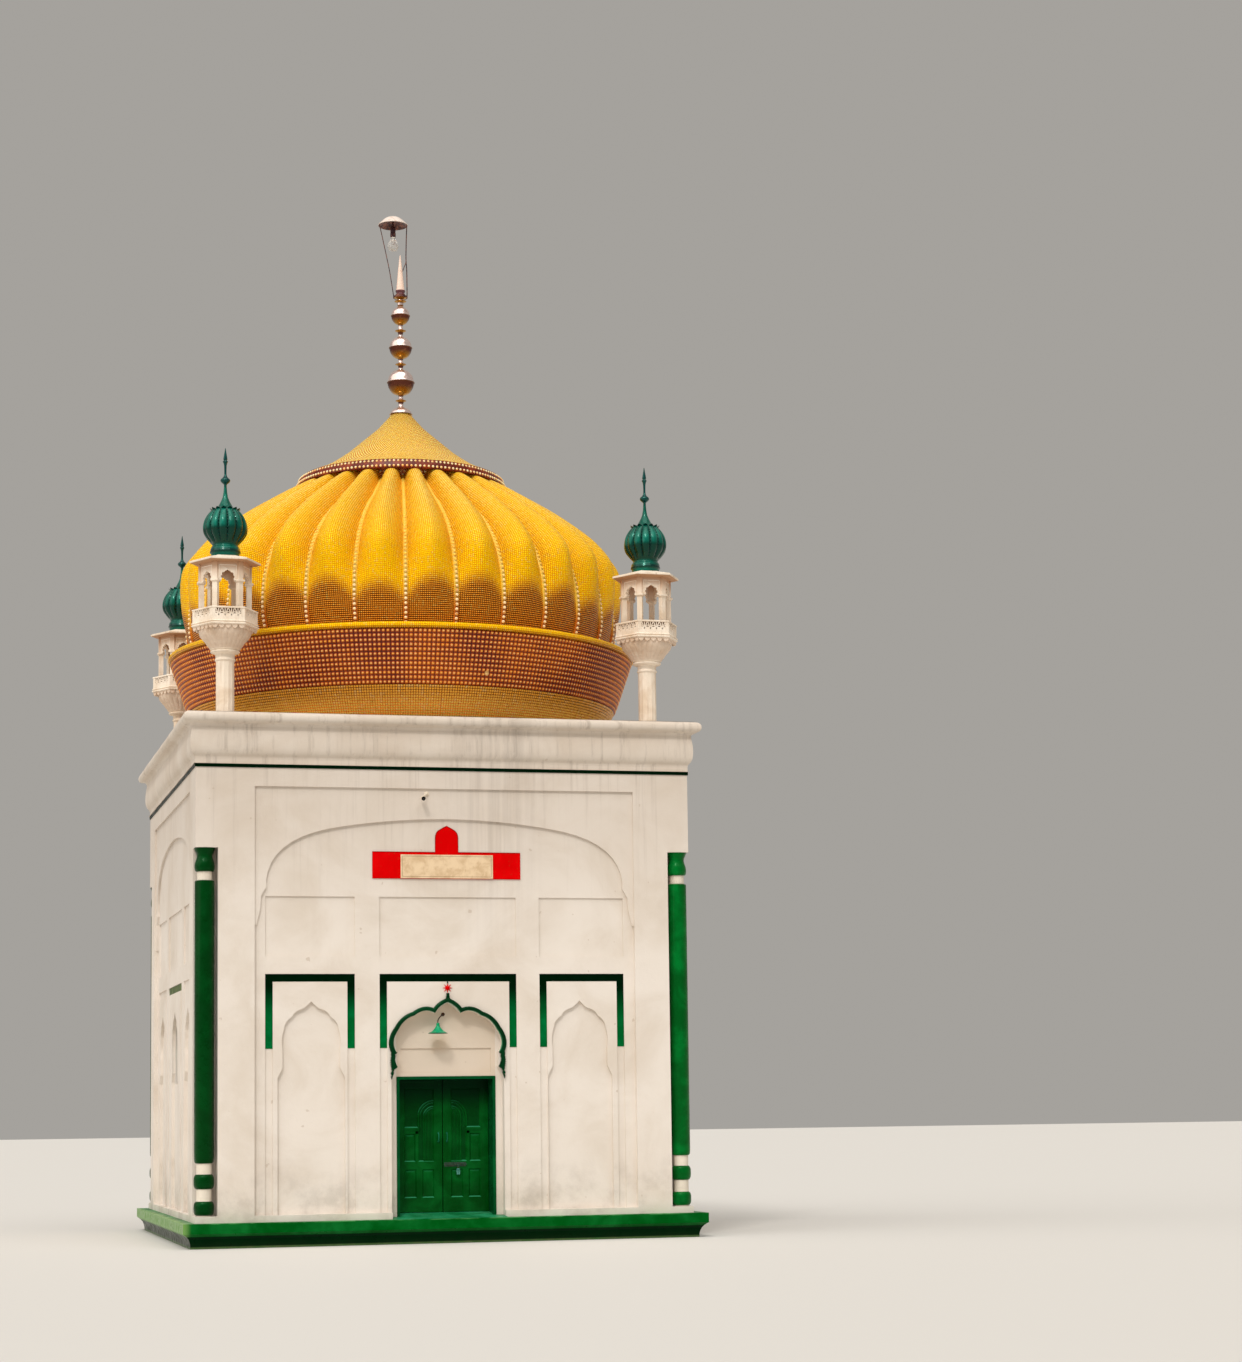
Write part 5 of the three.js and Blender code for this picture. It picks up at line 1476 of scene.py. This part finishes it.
def splays(opening, lean=0.016):
    """Sloping strips round an opening, given as a counter-clockwise outline with square corners: each
    runs from the leaf's face at the outline down to the field, lean further in."""
    outer = np.array(opening, float)
    ahead, behind = np.roll(outer, -1, 0) - outer, outer - np.roll(outer, 1, 0)
    inward = [
        np.stack([-d[:, 1], d[:, 0]], 1) / np.linalg.norm(d, axis=1, keepdims=True) for d in (ahead, behind)
    ]
    inner = outer + lean * (inward[0] + inward[1])
    faces = [np.array([[0, 3, 4, 1], [1, 4, 5, 2], [2, 5, 3, 0]]), np.array([[0, 1, 2], [5, 4, 3]])]
    strips = []
    for k in range(len(outer)):
        points = []
        for near, far in ((outer[k], inner[k]), (outer[(k + 1) % len(outer)], inner[(k + 1) % len(outer)])):
            points.append((near[0], LEAF_FACE, near[1]))
            points.append((far[0], FIELD_FACE - 0.0005, far[1]))
            points.append((near[0], BOARD_BACK, near[1]))
        strips.append((np.array(points), faces))
    return strips


# The right-hand leaf. Boards are given as low and high edge across, then up, from the meeting line.
OPENINGS = ((0.12, 0.29, 0.61, 1.003), (0.37, 0.545, 0.61, 1.003), (0.385, 0.545, 1.11, 1.497))
BOARDS = (
    (0.0055, 0.12, LEAF_FOOT, LEAF_TOP), (0.545, 0.6535, LEAF_FOOT, LEAF_TOP),
    (0.12, 0.545, LEAF_FOOT, 0.61), (0.12, 0.545, 1.003, 1.11), (0.12, 0.545, 2.12, LEAF_TOP),
    (0.29, 0.37, 0.61, 1.003), (0.345, 0.385, 1.11, 1.53), (0.34, 0.545, 1.497, 1.535)
)
PANEL_INSET = 0.016
REED_R = 0.008
REEDS_AT = (0.137, 0.157, 0.177, 0.197, 0.217)
REED_FOOT, REED_ARCH = 1.135, 0.108
leaf = [slab(0.006, 0.653, LEAF_FOOT, LEAF_TOP, FIELD_FACE, BACK_FACE)]
for low_u, high_u, low_z, high_z in OPENINGS:
    leaf += splays([(low_u, low_z), (high_u, low_z), (high_u, high_z), (low_u, high_z)])
leaf += splays([(0.12, 1.11), (0.345, 1.11), (0.345, 1.58), (0.545, 1.58), (0.545, 2.12), (0.12, 2.12)])
for board in BOARDS:
    leaf.append(slab(*board, LEAF_FACE, BOARD_BACK))
leaf.append(slab(0.336, 0.548, 1.535, 1.552, LEAF_FACE - 0.005, BOARD_BACK))
leaf.append(slab(0.332, 0.552, 1.552, 1.58, LEAF_FACE - 0.01, BOARD_BACK))
for low_u, high_u, low_z, high_z in OPENINGS:
    inset = (low_u + PANEL_INSET, high_u - PANEL_INSET, low_z + PANEL_INSET, high_z - PANEL_INSET)
    leaf.append(raised_panel(*inset))
for radius, half, foot in (
    (0.222, 0.014, 1.579), (0.192, 0.009, 1.579), (0.142, 0.013, 1.13), (0.118, 0.008, 1.13)
):
    leaf.append(arch_bead(radius, half, foot))
leaf.append(slab(0.12, 0.27, 1.112, 1.132, LEAF_FACE + 0.004, BOARD_BACK))
reed_turn = np.linspace(0, math.pi, 5)
for u in REEDS_AT:
    top = ARCH_Z + math.sqrt(max(REED_ARCH**2 - (u - ARCH_U) ** 2, 0.0))
    round_front = FIELD_FACE + 0.001 - REED_R * np.sin(reed_turn)
    ends = [
        np.stack([u + REED_R * np.cos(reed_turn), round_front, np.full(5, z)], 1) for z in (REED_FOOT, top)
    ]
    leaf.append((np.concatenate(ends), inside_out([grid_quads(2, 5), *end_faces(2, 5)])))


def mirrored(part):
    """The part on the other side of X = 0, its faces turned back outwards."""
    points, faces = part
    return points * [-1, 1, 1], inside_out(faces)


def per_corner(parts, share):
    """A number for every corner of every face, from share(face corner points, face normals)."""
    numbers = []
    for points, faces in parts:
        for f in faces:
            corner = points[f]
            normal = np.cross(corner[:, 1] - corner[:, 0], corner[:, 2] - corner[:, 0])
            normal /= np.maximum(np.linalg.norm(normal, axis=1, keepdims=True), 1e-12)
            numbers.append(np.repeat(share(corner, normal), f.shape[1]))
    return np.concatenate(numbers)


def highlight_share(corner, normal):
    """Painted highlight: how far a face looks up and to the left, towards the light."""
    return normal @ np.array([-0.35, -0.35, 0.87])


def field_share(corner, normal):
    """1 on the flat fields behind the leaf's face."""
    return 1.0 * (np.abs(corner[:, :, 1].mean(1) - FIELD_FACE) < 0.003)


for body, sided in (("right_leaf", leaf), ("left_leaf", [mirrored(p) for p in leaf])):
    leaf_marks = {"ledge_highlight": per_corner(sided, highlight_share), "field": per_corner(sided, field_share)}
    ride_piece(
        f"{body}_joinery", sided, door_paint, body, [f"door_leaf_{body[:-5]}"], 30, leaf_marks
    )


# Pulls, bolt and padlock.
# Handles bent from rod with flat feet, and on the right leaf a plate with a sliding rod in three
# staples, drawn back so that both leaves open, and a small steel padlock hanging on its shackle.
pull_paint, _, _ = gloss_paint("pull_green_paint", tint(0, 78, 50), tint(34, 128, 96), 0.3, 0.3, 0.4)
PULL_X, PULL_Z, PULL_FOOT = 0.06, 1.445, 0.058


def bow(half):
    """Bent rod, given as (depth, height over its middle) up to its middle, and the same the other way."""
    return [*half, *[(y, -z) for y, z in half[-2::-1]]]


pull_bow = bow([(-3.001, 0.057), (-3.018, 0.061), (-3.034, 0.049), (-3.0385, 0.025), (-3.0395, 0.0)])
staple_bow = bow([(-3.002, -0.014), (-3.022, -0.013), (-3.029, -0.007), (-3.0305, 0.0)])
for side, body in ((-1, "left_leaf"), (1, "right_leaf")):
    x = PULL_X * side
    handle = curve_through([(x, y, PULL_Z + z) for y, z in pull_bow], 4)
    parts = [tube(handle, 0.0068, 10, (1, 0, 0))]
    for z in (PULL_Z + PULL_FOOT, PULL_Z - PULL_FOOT):
        parts.append(slab(x - 0.011, x + 0.011, z - 0.013, z + 0.013, -3.0045, -3.0003))
    ride_piece(f"{body}_pull", parts, pull_paint, body, [f"door_pull_{body[:-5]}"], 50)
bolt_steel = finish("bolt_steel", 0.42, 0.75)
here = place(bolt_steel)
old_paint = patches(bolt_steel, here, 0.42, 0.56, 30, 4)
colour = layer(bolt_steel, old_paint, tint(8, 52, 30), tint(52, 84, 70))
coloured(
    bolt_steel, layer(bolt_steel, patches(bolt_steel, here, 0.55, 0.72, 90, 3), colour, tint(110, 66, 34))
)
use(bolt_steel, "Metallic", times(bolt_steel, old_paint, 0.7))
relief(bolt_steel, noise(bolt_steel, here, 140, 3), 0.0006, 0.5)
BOLT_Z = 1.064
bolt = [slab(0.02, 0.33, 1.036, 1.094, -3.0032, -3.0003)]
bolt.append(tube([(u, -3.019, BOLT_Z) for u in (0.012, 0.12, 0.34)], 0.0075, 12, (0, 0, 1)))
for u in (0.072, 0.162, 0.272):
    staple = curve_through([(u, y, BOLT_Z + z) for y, z in staple_bow], 2)
    bolt.append(tube(staple, 0.0035, 6, (1, 0, 0)))
points, faces = turned([(0, 0.0), (0.0045, 0.0), (0.004, 0.0016), (0, 0.0022)], 8)
SCREWS = [(u, z) for u in (0.032, 0.117, 0.318) for z in (1.045, 1.085)] + [(0.217, 1.085)]
for u, z in SCREWS:
    bolt.append((np.stack([points[:, 0] + u, -3.003 - points[:, 2], z + points[:, 1]], 1), faces))
LOCK_SCALE = 1.4
lock_outline = [
    (0.0175, 0.952), (0.0178, 1.002), (0.015, 1.0075), (-0.015, 1.0075), (-0.0178, 1.002), (-0.0175, 0.952),
    (-0.0125, 0.9465), (0.0125, 0.9465)
]
lock_body = prism([
    (0.214 - LOCK_SCALE * u, 1.0075 + LOCK_SCALE * (z - 1.0075)) for u, z in lock_outline
], -3.0405, -3.0215)
shackle = np.array([
    (0.2035, -3.032, 1.004), (0.2035, -3.032, 1.028), (0.2055, -3.032, 1.04), (0.214, -3.031, 1.0455),
    (0.2225, -3.032, 1.04), (0.2245, -3.032, 1.028), (0.2245, -3.032, 1.004)
])
hasp = slab(0.206, 0.222, 1.03, 1.06, -3.0335, -3.0265)
lock_steel, _ = mottled(
    "padlock_steel", tint(110, 186, 170), tint(52, 110, 98), 0.4, 0.65, (60, 4), 0.32, metallic=0.85
)
ride_piece("door_bolt_rod", bolt, bolt_steel, "right_leaf", ["door_bolt"], 40)
ride_piece(
    "padlock_shackle", [tube(curve_through(shackle, 3), 0.0032, 8, (0, 1, 0)), hasp], bolt_steel,
    "right_leaf", crease=40
)
lock_piece = ride_piece("padlock_body", [lock_body], lock_steel, "right_leaf", crease=20)
soften(lock_piece, 0.0025, 3, 40)


# Arch roll, capitals and star.
# A cement roll runs over the cusped door arch on the wall's face and ends on stepped capitals; a stem
# rises from its point to an eight-rayed star cut from board. The roll is dark green, the star red.
WALL_FACE = -3.4353
ROLL_HALF = 0.029
ROLL_HIGH = 0.0445
ROLL_SIDES = 13
CAPITAL_FACE = WALL_FACE - 0.044
roll_paint, here, colour = gloss_paint("roll_green_paint", tint(0, 36, 12), tint(4, 58, 30), 0.3, 0.1, 0.3)
rim_highlight = marked(roll_paint, "inner_rim_highlight")
# Painted highlight: the roll's inner rim is lightened to teal.
coloured(roll_paint, layer(roll_paint, rim_highlight, colour, tint(70, 140, 104), 0.8))


def lobes_through(start, bends, steps=10):
    """Chain of quadratic curves from the start point: each bend is (bend u, bend z, end u, end z)."""
    line = [start]
    t = np.linspace(0, 1, steps + 1)[1:, None]
    for bu, bz, eu, ez in bends:
        a, b, c = np.array(line[-1]), np.array([bu, bz]), np.array([eu, ez])
        line.extend((1 - t) ** 2 * a + 2 * t * (1 - t) * b + t**2 * c)
    return np.array(line)


def both_halves(half):
    """Closed outline, counter-clockwise, from its right half, crown first."""
    return np.concatenate([half * [-1, 1], half[:0:-1]])


door_curve = lobes_through(
    (0, 3.345),
    [
        (0.128, 3.3, 0.19, 3.2), (0.33, 3.27, 0.484, 3.155), (0.64, 3.11, 0.72, 2.96),
        (0.86, 2.78, 0.765, 2.612)
    ],
    8
)
roll_path = np.concatenate([(door_curve * [-1, 1])[:0:-1], door_curve])
turn = np.linspace(0, math.pi, ROLL_SIDES)
swell = ROLL_HALF * np.sign(np.cos(turn)) * np.abs(np.cos(turn)) ** 0.75
high = ROLL_HIGH * np.sin(turn) ** 0.6
edges = np.diff(roll_path, axis=0)
edges = np.stack([-edges[:, 1], edges[:, 0]], 1) / np.linalg.norm(edges, axis=1, keepdims=True)
one_side, other_side = edges[np.r_[0, 0 : len(edges)]], edges[np.r_[0 : len(edges), len(edges) - 1]]
mitre = (one_side + other_side) / (1 + np.sum(one_side * other_side, 1, keepdims=True))
wider = np.interp(roll_path[:, 1], [2.75, 3.15], [1.45, 1.0])[:, None]
sweep = np.where(swell[None, :] < 0, swell[None, :] * wider, swell[None, :])
roll_flat = roll_path[:, None] + mitre[:, None] * sweep[..., None]
roll_at = np.stack([roll_flat[..., 0], WALL_FACE - high + 0 * roll_flat[..., 0], roll_flat[..., 1]], -1)
roll_faces = [grid_quads(len(roll_path), ROLL_SIDES), *end_faces(len(roll_path), ROLL_SIDES)]
roll = (roll_at.reshape(-1, 3), roll_faces)
capital = np.array([
    (0.796, 2.25), (0.806, 2.288), (0.797, 2.306), (0.809, 2.334), (0.79, 2.368), (0.801, 2.396),
    (0.792, 2.408), (0.808, 2.424), (0.797, 2.437), (0.812, 2.453), (0.8, 2.467), (0.815, 2.484),
    (0.802, 2.498), (0.815, 2.515), (0.802, 2.531), (0.811, 2.549), (0.798, 2.564), (0.806, 2.59),
    (0.801, 2.626), (0.72, 2.626), (0.727, 2.606), (0.752, 2.594), (0.743, 2.562), (0.75, 2.53),
    (0.746, 2.494), (0.727, 2.444), (0.713, 2.421), (0.731, 2.404), (0.76, 2.388), (0.771, 2.362),
    (0.766, 2.334), (0.78, 2.3)
])
stem = both_halves(
    np.array([(0, 3.442), (0.02, 3.44), (0.019, 3.405), (0.027, 3.372), (0.052, 3.338), (0.07, 3.322)])
)
tip = both_halves(np.array([(0, 3.612), (0.009, 3.594), (0.005, 3.574)]))
roll_parts = [
    roll,
    prism(capital, CAPITAL_FACE, WALL_FACE),
    prism((capital * [-1, 1])[::-1], CAPITAL_FACE, WALL_FACE),
    prism(stem, WALL_FACE - 0.036, WALL_FACE),
    prism(tip, WALL_FACE - 0.016, WALL_FACE),
]
rim_highlight_marks = np.zeros(sum(len(p) for p, _ in roll_parts))
rim_highlight_marks[: len(roll[0])] = np.tile(np.where(turn > 2.5, 1.0, 0.0), len(roll_path))
ride_piece(
    "arch_roll_sweep", roll_parts, roll_paint, stands_for=["arch_roll"], crease=40,
    marks={"inner_rim_highlight": rim_highlight_marks}
)

red_paint, here, colour = gloss_paint(
    "red_board_paint", tint(210, 0, 2), tint(230, 4, 8), 0.45, shine=0.12, glint=tint(255, 60, 50)
)
# Painted shadow: a dark red line round the board's edge, strongest along its upper part.
edge_shadow = marked(red_paint, "board_edge_shadow")
coloured(red_paint, layer(red_paint, edge_shadow, colour, tint(112, 10, 6)))
relief(red_paint, noise(red_paint, here, 60, 4), 0.0015, 0.5)
STAR_Z = 3.512
TIPS = 16  # eight rays and eight notches
HOLLOW, REACH = 0.027, 0.071
k = np.arange(TIPS)
reach = np.where(k % 2, HOLLOW, REACH)
across, drop = reach * np.sin(k / TIPS * 2 * math.pi), reach * np.cos(k / TIPS * 2 * math.pi)
star_rings = [np.stack([across, np.full(TIPS, y), STAR_Z - drop], 1) for y in (WALL_FACE, WALL_FACE - 0.007)]
star_points = np.concatenate([*star_rings, [[0, WALL_FACE - 0.024, STAR_Z]]])
star_slopes = np.stack([k + TIPS, (k + 1) % TIPS + TIPS, np.full(TIPS, 2 * TIPS)], 1)
star = (star_points, [grid_quads(2, TIPS), star_slopes, k[None, ::-1]])
ride_piece("star_board", [star], red_paint, stands_for=["arch_star"], crease=20)


# Name board and plaque.
# A flat board with a pointed tab, cut from cement sheet and painted bright red, and on it a cream
# stone plaque. The plaque carries no lettering here, only a thin cut line near its edge.
tab_curve = lobes_through((0, 5.782), [(0.075, 5.745, 0.12, 5.715), (0.165, 5.68, 0.165, 5.6)], 8)
board = both_halves(np.concatenate([tab_curve, [(0.165, 5.412), (1.052, 5.412), (1.052, 5.035)]]))
BOARD_FACE = WALL_FACE - 0.0115
RIM = 0.012
around = np.roll(board, -1, 0) - np.roll(board, 1, 0)
around /= np.linalg.norm(around, axis=1, keepdims=True)
inset = board + np.stack([-around[:, 1], around[:, 0]], 1) * RIM
n = len(board)
rims = ((board, WALL_FACE), (board, BOARD_FACE), (inset, BOARD_FACE), (inset, BOARD_FACE + 0.002))
board_rings = np.concatenate([np.column_stack([o[:, 0], np.full(n, y), o[:, 1]]) for o, y in rims])
board_part = (board_rings, [grid_quads(4, n), *end_faces(4, n)])
# Painted shadow along the board's edges, stronger above 5.2 m.
edge_shadow_marks = np.repeat([0.9, 0.85, 0.5, 0.0], n)
edge_shadow_marks *= np.tile(np.where(board[:, 1] > 5.2, 1.0, 0.45), 4)
ride_piece(
    "red_board", [board_part], red_paint, stands_for=["red_panel"], crease=30,
    marks={"board_edge_shadow": edge_shadow_marks}
)
cream = finish("plaque_cream", 0.6, shine=0.2)
here = place(cream)
colour = layer(
    cream, patches(cream, here, 0.36, 0.7, 7, 6, 0.62, 0.4), tint(232, 206, 170), tint(208, 178, 140)
)
veins = patches(cream, place(cream, (26, 26, 9)), 0.56, 0.72, 1.0, 6, 0.7)
colour = layer(cream, veins, colour, tint(186, 146, 104), 0.5)
line_mark = marked(cream, "cut_line")
coloured(cream, layer(cream, line_mark, colour, tint(120, 86, 56), 0.75))
relief(cream, noise(cream, here, 80, 5), 0.001, 0.5)
# From the back of the plaque to its face: distance in from the edge and share of the thickness.
PLAQUE_BACK, PLAQUE_THICK = WALL_FACE - 0.0123, 0.014
PLAQUE_HALF, PLAQUE_LOW, PLAQUE_HIGH = 0.655, 5.042, 5.372
MARGIN = [(0, 0.0), (0, 1.0), (0.002, 1.0), (0.02, 1.0), (0.0215, 0.85), (0.0245, 0.85), (0.026, 1.0)]
plaque_rings = []
for inward, forward in MARGIN:
    u, low, high = PLAQUE_HALF - inward, PLAQUE_LOW + inward, PLAQUE_HIGH - inward
    y = PLAQUE_BACK - PLAQUE_THICK * forward
    plaque_rings.append([(-u, y, low), (u, y, low), (u, y, high), (-u, y, high)])
plaque_points = np.array(plaque_rings).reshape(-1, 3)
last = 4 * (len(MARGIN) - 1)
plaque = (
    plaque_points, [grid_quads(len(MARGIN), 4), np.array([[3, 2, 1, 0]]), np.array([[0, 1, 2, 3]]) + last]
)
cut_marks = np.repeat([0, 0, 0, 0, 1, 1, 0], 4).astype(float)
ride_piece(
    "plaque_stone", [plaque], cream, stands_for=["plaque"], crease=25,
    marks={"cut_line": cut_marks}
)


# Porch lamp.
# Spun steel cone shade in green enamel on a bent steel arm, with a round rose screwed to the wall
# under the arch. The rim is darker.
SHADE_AT = (-0.15, -3.4953)
shade_enamel, here, colour = gloss_paint(
    "shade_green_enamel", tint(4, 140, 92), tint(30, 168, 124), 0.28, 0.3, 0.4
)
height = axis(shade_enamel, here, 2)
dark_rim = span(shade_enamel, height, 2.892, 2.884)
colour = layer(shade_enamel, dark_rim, colour, tint(18, 52, 38), 0.8)
coloured(shade_enamel, colour)
shade_line = curve_through([
    (0, 2.992), (0.018, 2.988), (0.04, 2.948), (0.08, 2.907), (0.122, 2.884), (0.1355, 2.8775),
    (0.138, 2.8795), (0.136, 2.884), (0.124, 2.89), (0.082, 2.913), (0.044, 2.954), (0.025, 2.988),
    (0.024, 3.012), (0.017, 3.024), (0, 3.026)
], 3)
shade_line[0, 0], shade_line[-1, 0] = 0.0, 0.0
ride_piece(
    "lamp_shade", [turned(shade_line, 40, SHADE_AT)], shade_enamel,
    stands_for=["porch_lamp"], crease=60
)


def aimed(part, heading, at):
    """The part with its Z axis turned to the heading, then moved."""
    points, faces = part
    n = np.array(heading, float) / np.linalg.norm(heading)
    side = np.cross((0, 0, 1) if abs(n[2]) < 0.9 else (0, 1, 0), n)
    side /= np.linalg.norm(side)
    return points @ np.array([side, np.cross(n, side), n]) + np.array(at), faces


arm_iron, _ = mottled(
    "arm_iron", tint(44, 40, 34), tint(104, 60, 34), 0.45, 0.62, (40, 5), 0.5, metallic=0.5
)
arm = curve_through([
    (-0.15, -3.4953, 3.012), (-0.15, -3.492, 3.034), (-0.141, -3.462, 3.066), (-0.1, -3.39, 3.112),
    (-0.039, -3.288, 3.148)
], 5)
rose = turned([(0, 0.0), (0.026, 0.0), (0.026, 0.006), (0.02, 0.012), (0.01, 0.016), (0, 0.017)], 20)
ride_piece(
    "lamp_arm", [tube(arm, 0.0085, 8, (1, 0, 0)), aimed(rose, (0, -1, 0), (-0.039, -3.2852, 3.15))],
    arm_iron, crease=40
)


# Watch camera.
# Small moulded housing with a short hood and a dark lens, on a jointed bracket screwed to the wall.
housing = finish("camera_housing", 0.4, shine=0.4)
here = place(housing)
dust = patches(housing, here, 0.4, 0.7, 24, 5)
colour = layer(housing, dust, tint(238, 226, 208), tint(206, 190, 168))
lens = marked(housing, "lens")
coloured(housing, layer(housing, lens, colour, tint(16, 12, 12)))
use(housing, "Roughness", span(housing, lens, 0, 1, 0.4, 0.08))
relief(housing, noise(housing, here, 120, 3), 0.0004, 0.4)
AIM = (-0.1, -1.0, -0.16)
barrel_line = [
    (0, 0.0), (0.026, 0.0), (0.032, 0.006), (0.033, 0.02), (0.033, 0.12), (0.0315, 0.124), (0.029, 0.124),
    (0.028, 0.112), (0.024, 0.11), (0.016, 0.114), (0, 0.117)
]
barrel = turned(barrel_line, 28)
in_bore = np.hypot(barrel[0][:, 0], barrel[0][:, 1]) < 0.0285
lens_marks = np.where(in_bore, 1.0, 0.0) * (barrel[0][:, 2] > 0.1)
HOUSING_AT = (-0.35, -3.536, 6.155)
camera_parts = [aimed(barrel, AIM, HOUSING_AT)]
rose_line = [(0, 0.0), (0.034, 0.0), (0.034, 0.008), (0.028, 0.013), (0, 0.014)]
camera_parts.append(aimed(turned(rose_line, 24), (0, -1, 0), (-0.285, -3.4703, 6.225)))
bracket = [(-0.285, -3.474, 6.224), (-0.288, -3.5, 6.222), (-0.315, -3.53, 6.208), (-0.345, -3.555, 6.182)]
camera_parts.append(tube(curve_through(bracket, 4), 0.008, 10, (0, 0, 1)))
hood_turn = np.linspace(-1.35, 1.35, 13)
hood_rows = np.array([(0.0345, 0.004), (0.0345, 0.138), (0.0375, 0.138), (0.0375, 0.004)])
hood_radius, hood_reach = hood_rows[:, :1], hood_rows[:, 1:]
hood_points = np.stack([
    hood_radius * np.sin(hood_turn), hood_radius * np.cos(hood_turn), hood_reach + 0 * hood_turn
], -1)
hood_faces = grid_quads(4, 13, wrap_rows=True, wrap_cols=False)
hood = (hood_points.reshape(-1, 3), [hood_faces, np.array([[0, 13, 26, 39]]), np.array([[12, 51, 38, 25]])])
camera_parts.append(aimed(hood, AIM, HOUSING_AT))
marks = np.concatenate([lens_marks] + [np.zeros(len(p)) for p, _ in camera_parts[1:]])
ride_piece(
    "camera_body", camera_parts, housing, stands_for=["facade_camera"], crease=35,
    marks={"lens": marks}
)


# Side and back windows.
# Pointed timber frames set back in the middle niche of three faces, painted dark teal with a wide
# transom at the springing, and dark glass behind.
WINDOW_FACE = -3.345
TRANSOM_Z, TRANSOM_HALF = 2.704, 0.036
FRAME_HALF = 0.342
NICHE_BENDS = [
    (0.08, 3.25, 0.11, 3.235), (0.24, 3.2, 0.262, 3.125), (0.37, 3.06, 0.375, 2.96),
    (0.425, 2.83, 0.397, 2.66),
]
niche_half = lobes_through((0, 3.332), NICHE_BENDS, 8)
hole_half = np.concatenate([niche_half[niche_half[:, 1] > 2.7] * [0.9, 1] - [0, 0.04], [(0.355, 2.255)]])
hole = both_halves(hole_half)


def about_transom(scale):
    """The window's outline, made smaller towards the middle of its springing."""
    return hole * [scale, scale] + [0, 2.74 * (1 - scale)]


def window_ring(outer, inner, front, back):
    """Frame between two scaled outlines: outer face, front, sloping inner face and back."""
    rings = [(outer, back), (outer, front), (inner + 0.012, front), (inner, front + 0.012), (inner, back)]
    outlines = [(about_transom(scale), y) for scale, y in rings]
    points = np.concatenate([np.column_stack([o[:, 0], np.full(len(o), y), o[:, 1]]) for o, y in outlines])
    return points, [grid_quads(5, len(hole), wrap_rows=True)]


frame_teal, here, colour = gloss_paint(
    "window_teal_paint", tint(2, 44, 36), tint(14, 72, 58), 0.4, shine=0.2
)
height = axis(frame_teal, here, 2)
over_foot, under_top = span(frame_teal, height, 2.664, 2.669), span(frame_teal, height, 2.745, 2.74)
transom_band = times(frame_teal, over_foot, under_top)
coloured(frame_teal, layer(frame_teal, transom_band, colour, tint(30, 128, 104)))
transom_low, transom_high = TRANSOM_Z - TRANSOM_HALF, TRANSOM_Z + TRANSOM_HALF
transom = slab(-FRAME_HALF, FRAME_HALF, transom_low, transom_high, WINDOW_FACE + 0.002, WINDOW_FACE + 0.05)
nose = slab(
    -FRAME_HALF, FRAME_HALF, TRANSOM_Z - 0.014, TRANSOM_Z + 0.014, WINDOW_FACE - 0.006, WINDOW_FACE + 0.004
)
ring = window_ring(0.999, 0.87, WINDOW_FACE + 0.001, WINDOW_FACE + 0.068)
pane_glass = finish("window_dark_glass", 0.08, shine=0.5)
dull = patches(pane_glass, place(pane_glass, (3, 3, 1.2)), 0.4, 0.7, 1.0, 5)
coloured(pane_glass, layer(pane_glass, dull, tint(2, 5, 7), tint(16, 22, 24)))
use(pane_glass, "Roughness", span(pane_glass, dull, 0, 1, 0.06, 0.3))
pane = prism(about_transom(0.885), WINDOW_FACE + 0.03, WINDOW_FACE + 0.036)
for quarter, wall in ((3, "left"), (1, "right"), (2, "back")):
    parts = [turn_face(part, quarter) for part in (ring, transom, nose)]
    ride_piece(
        f"window_{wall}_timber", parts, frame_teal, stands_for=[f"window_{wall}"], crease=30
    )
    ride_piece(f"window_{wall}_pane", [turn_face(pane, quarter)], pane_glass)
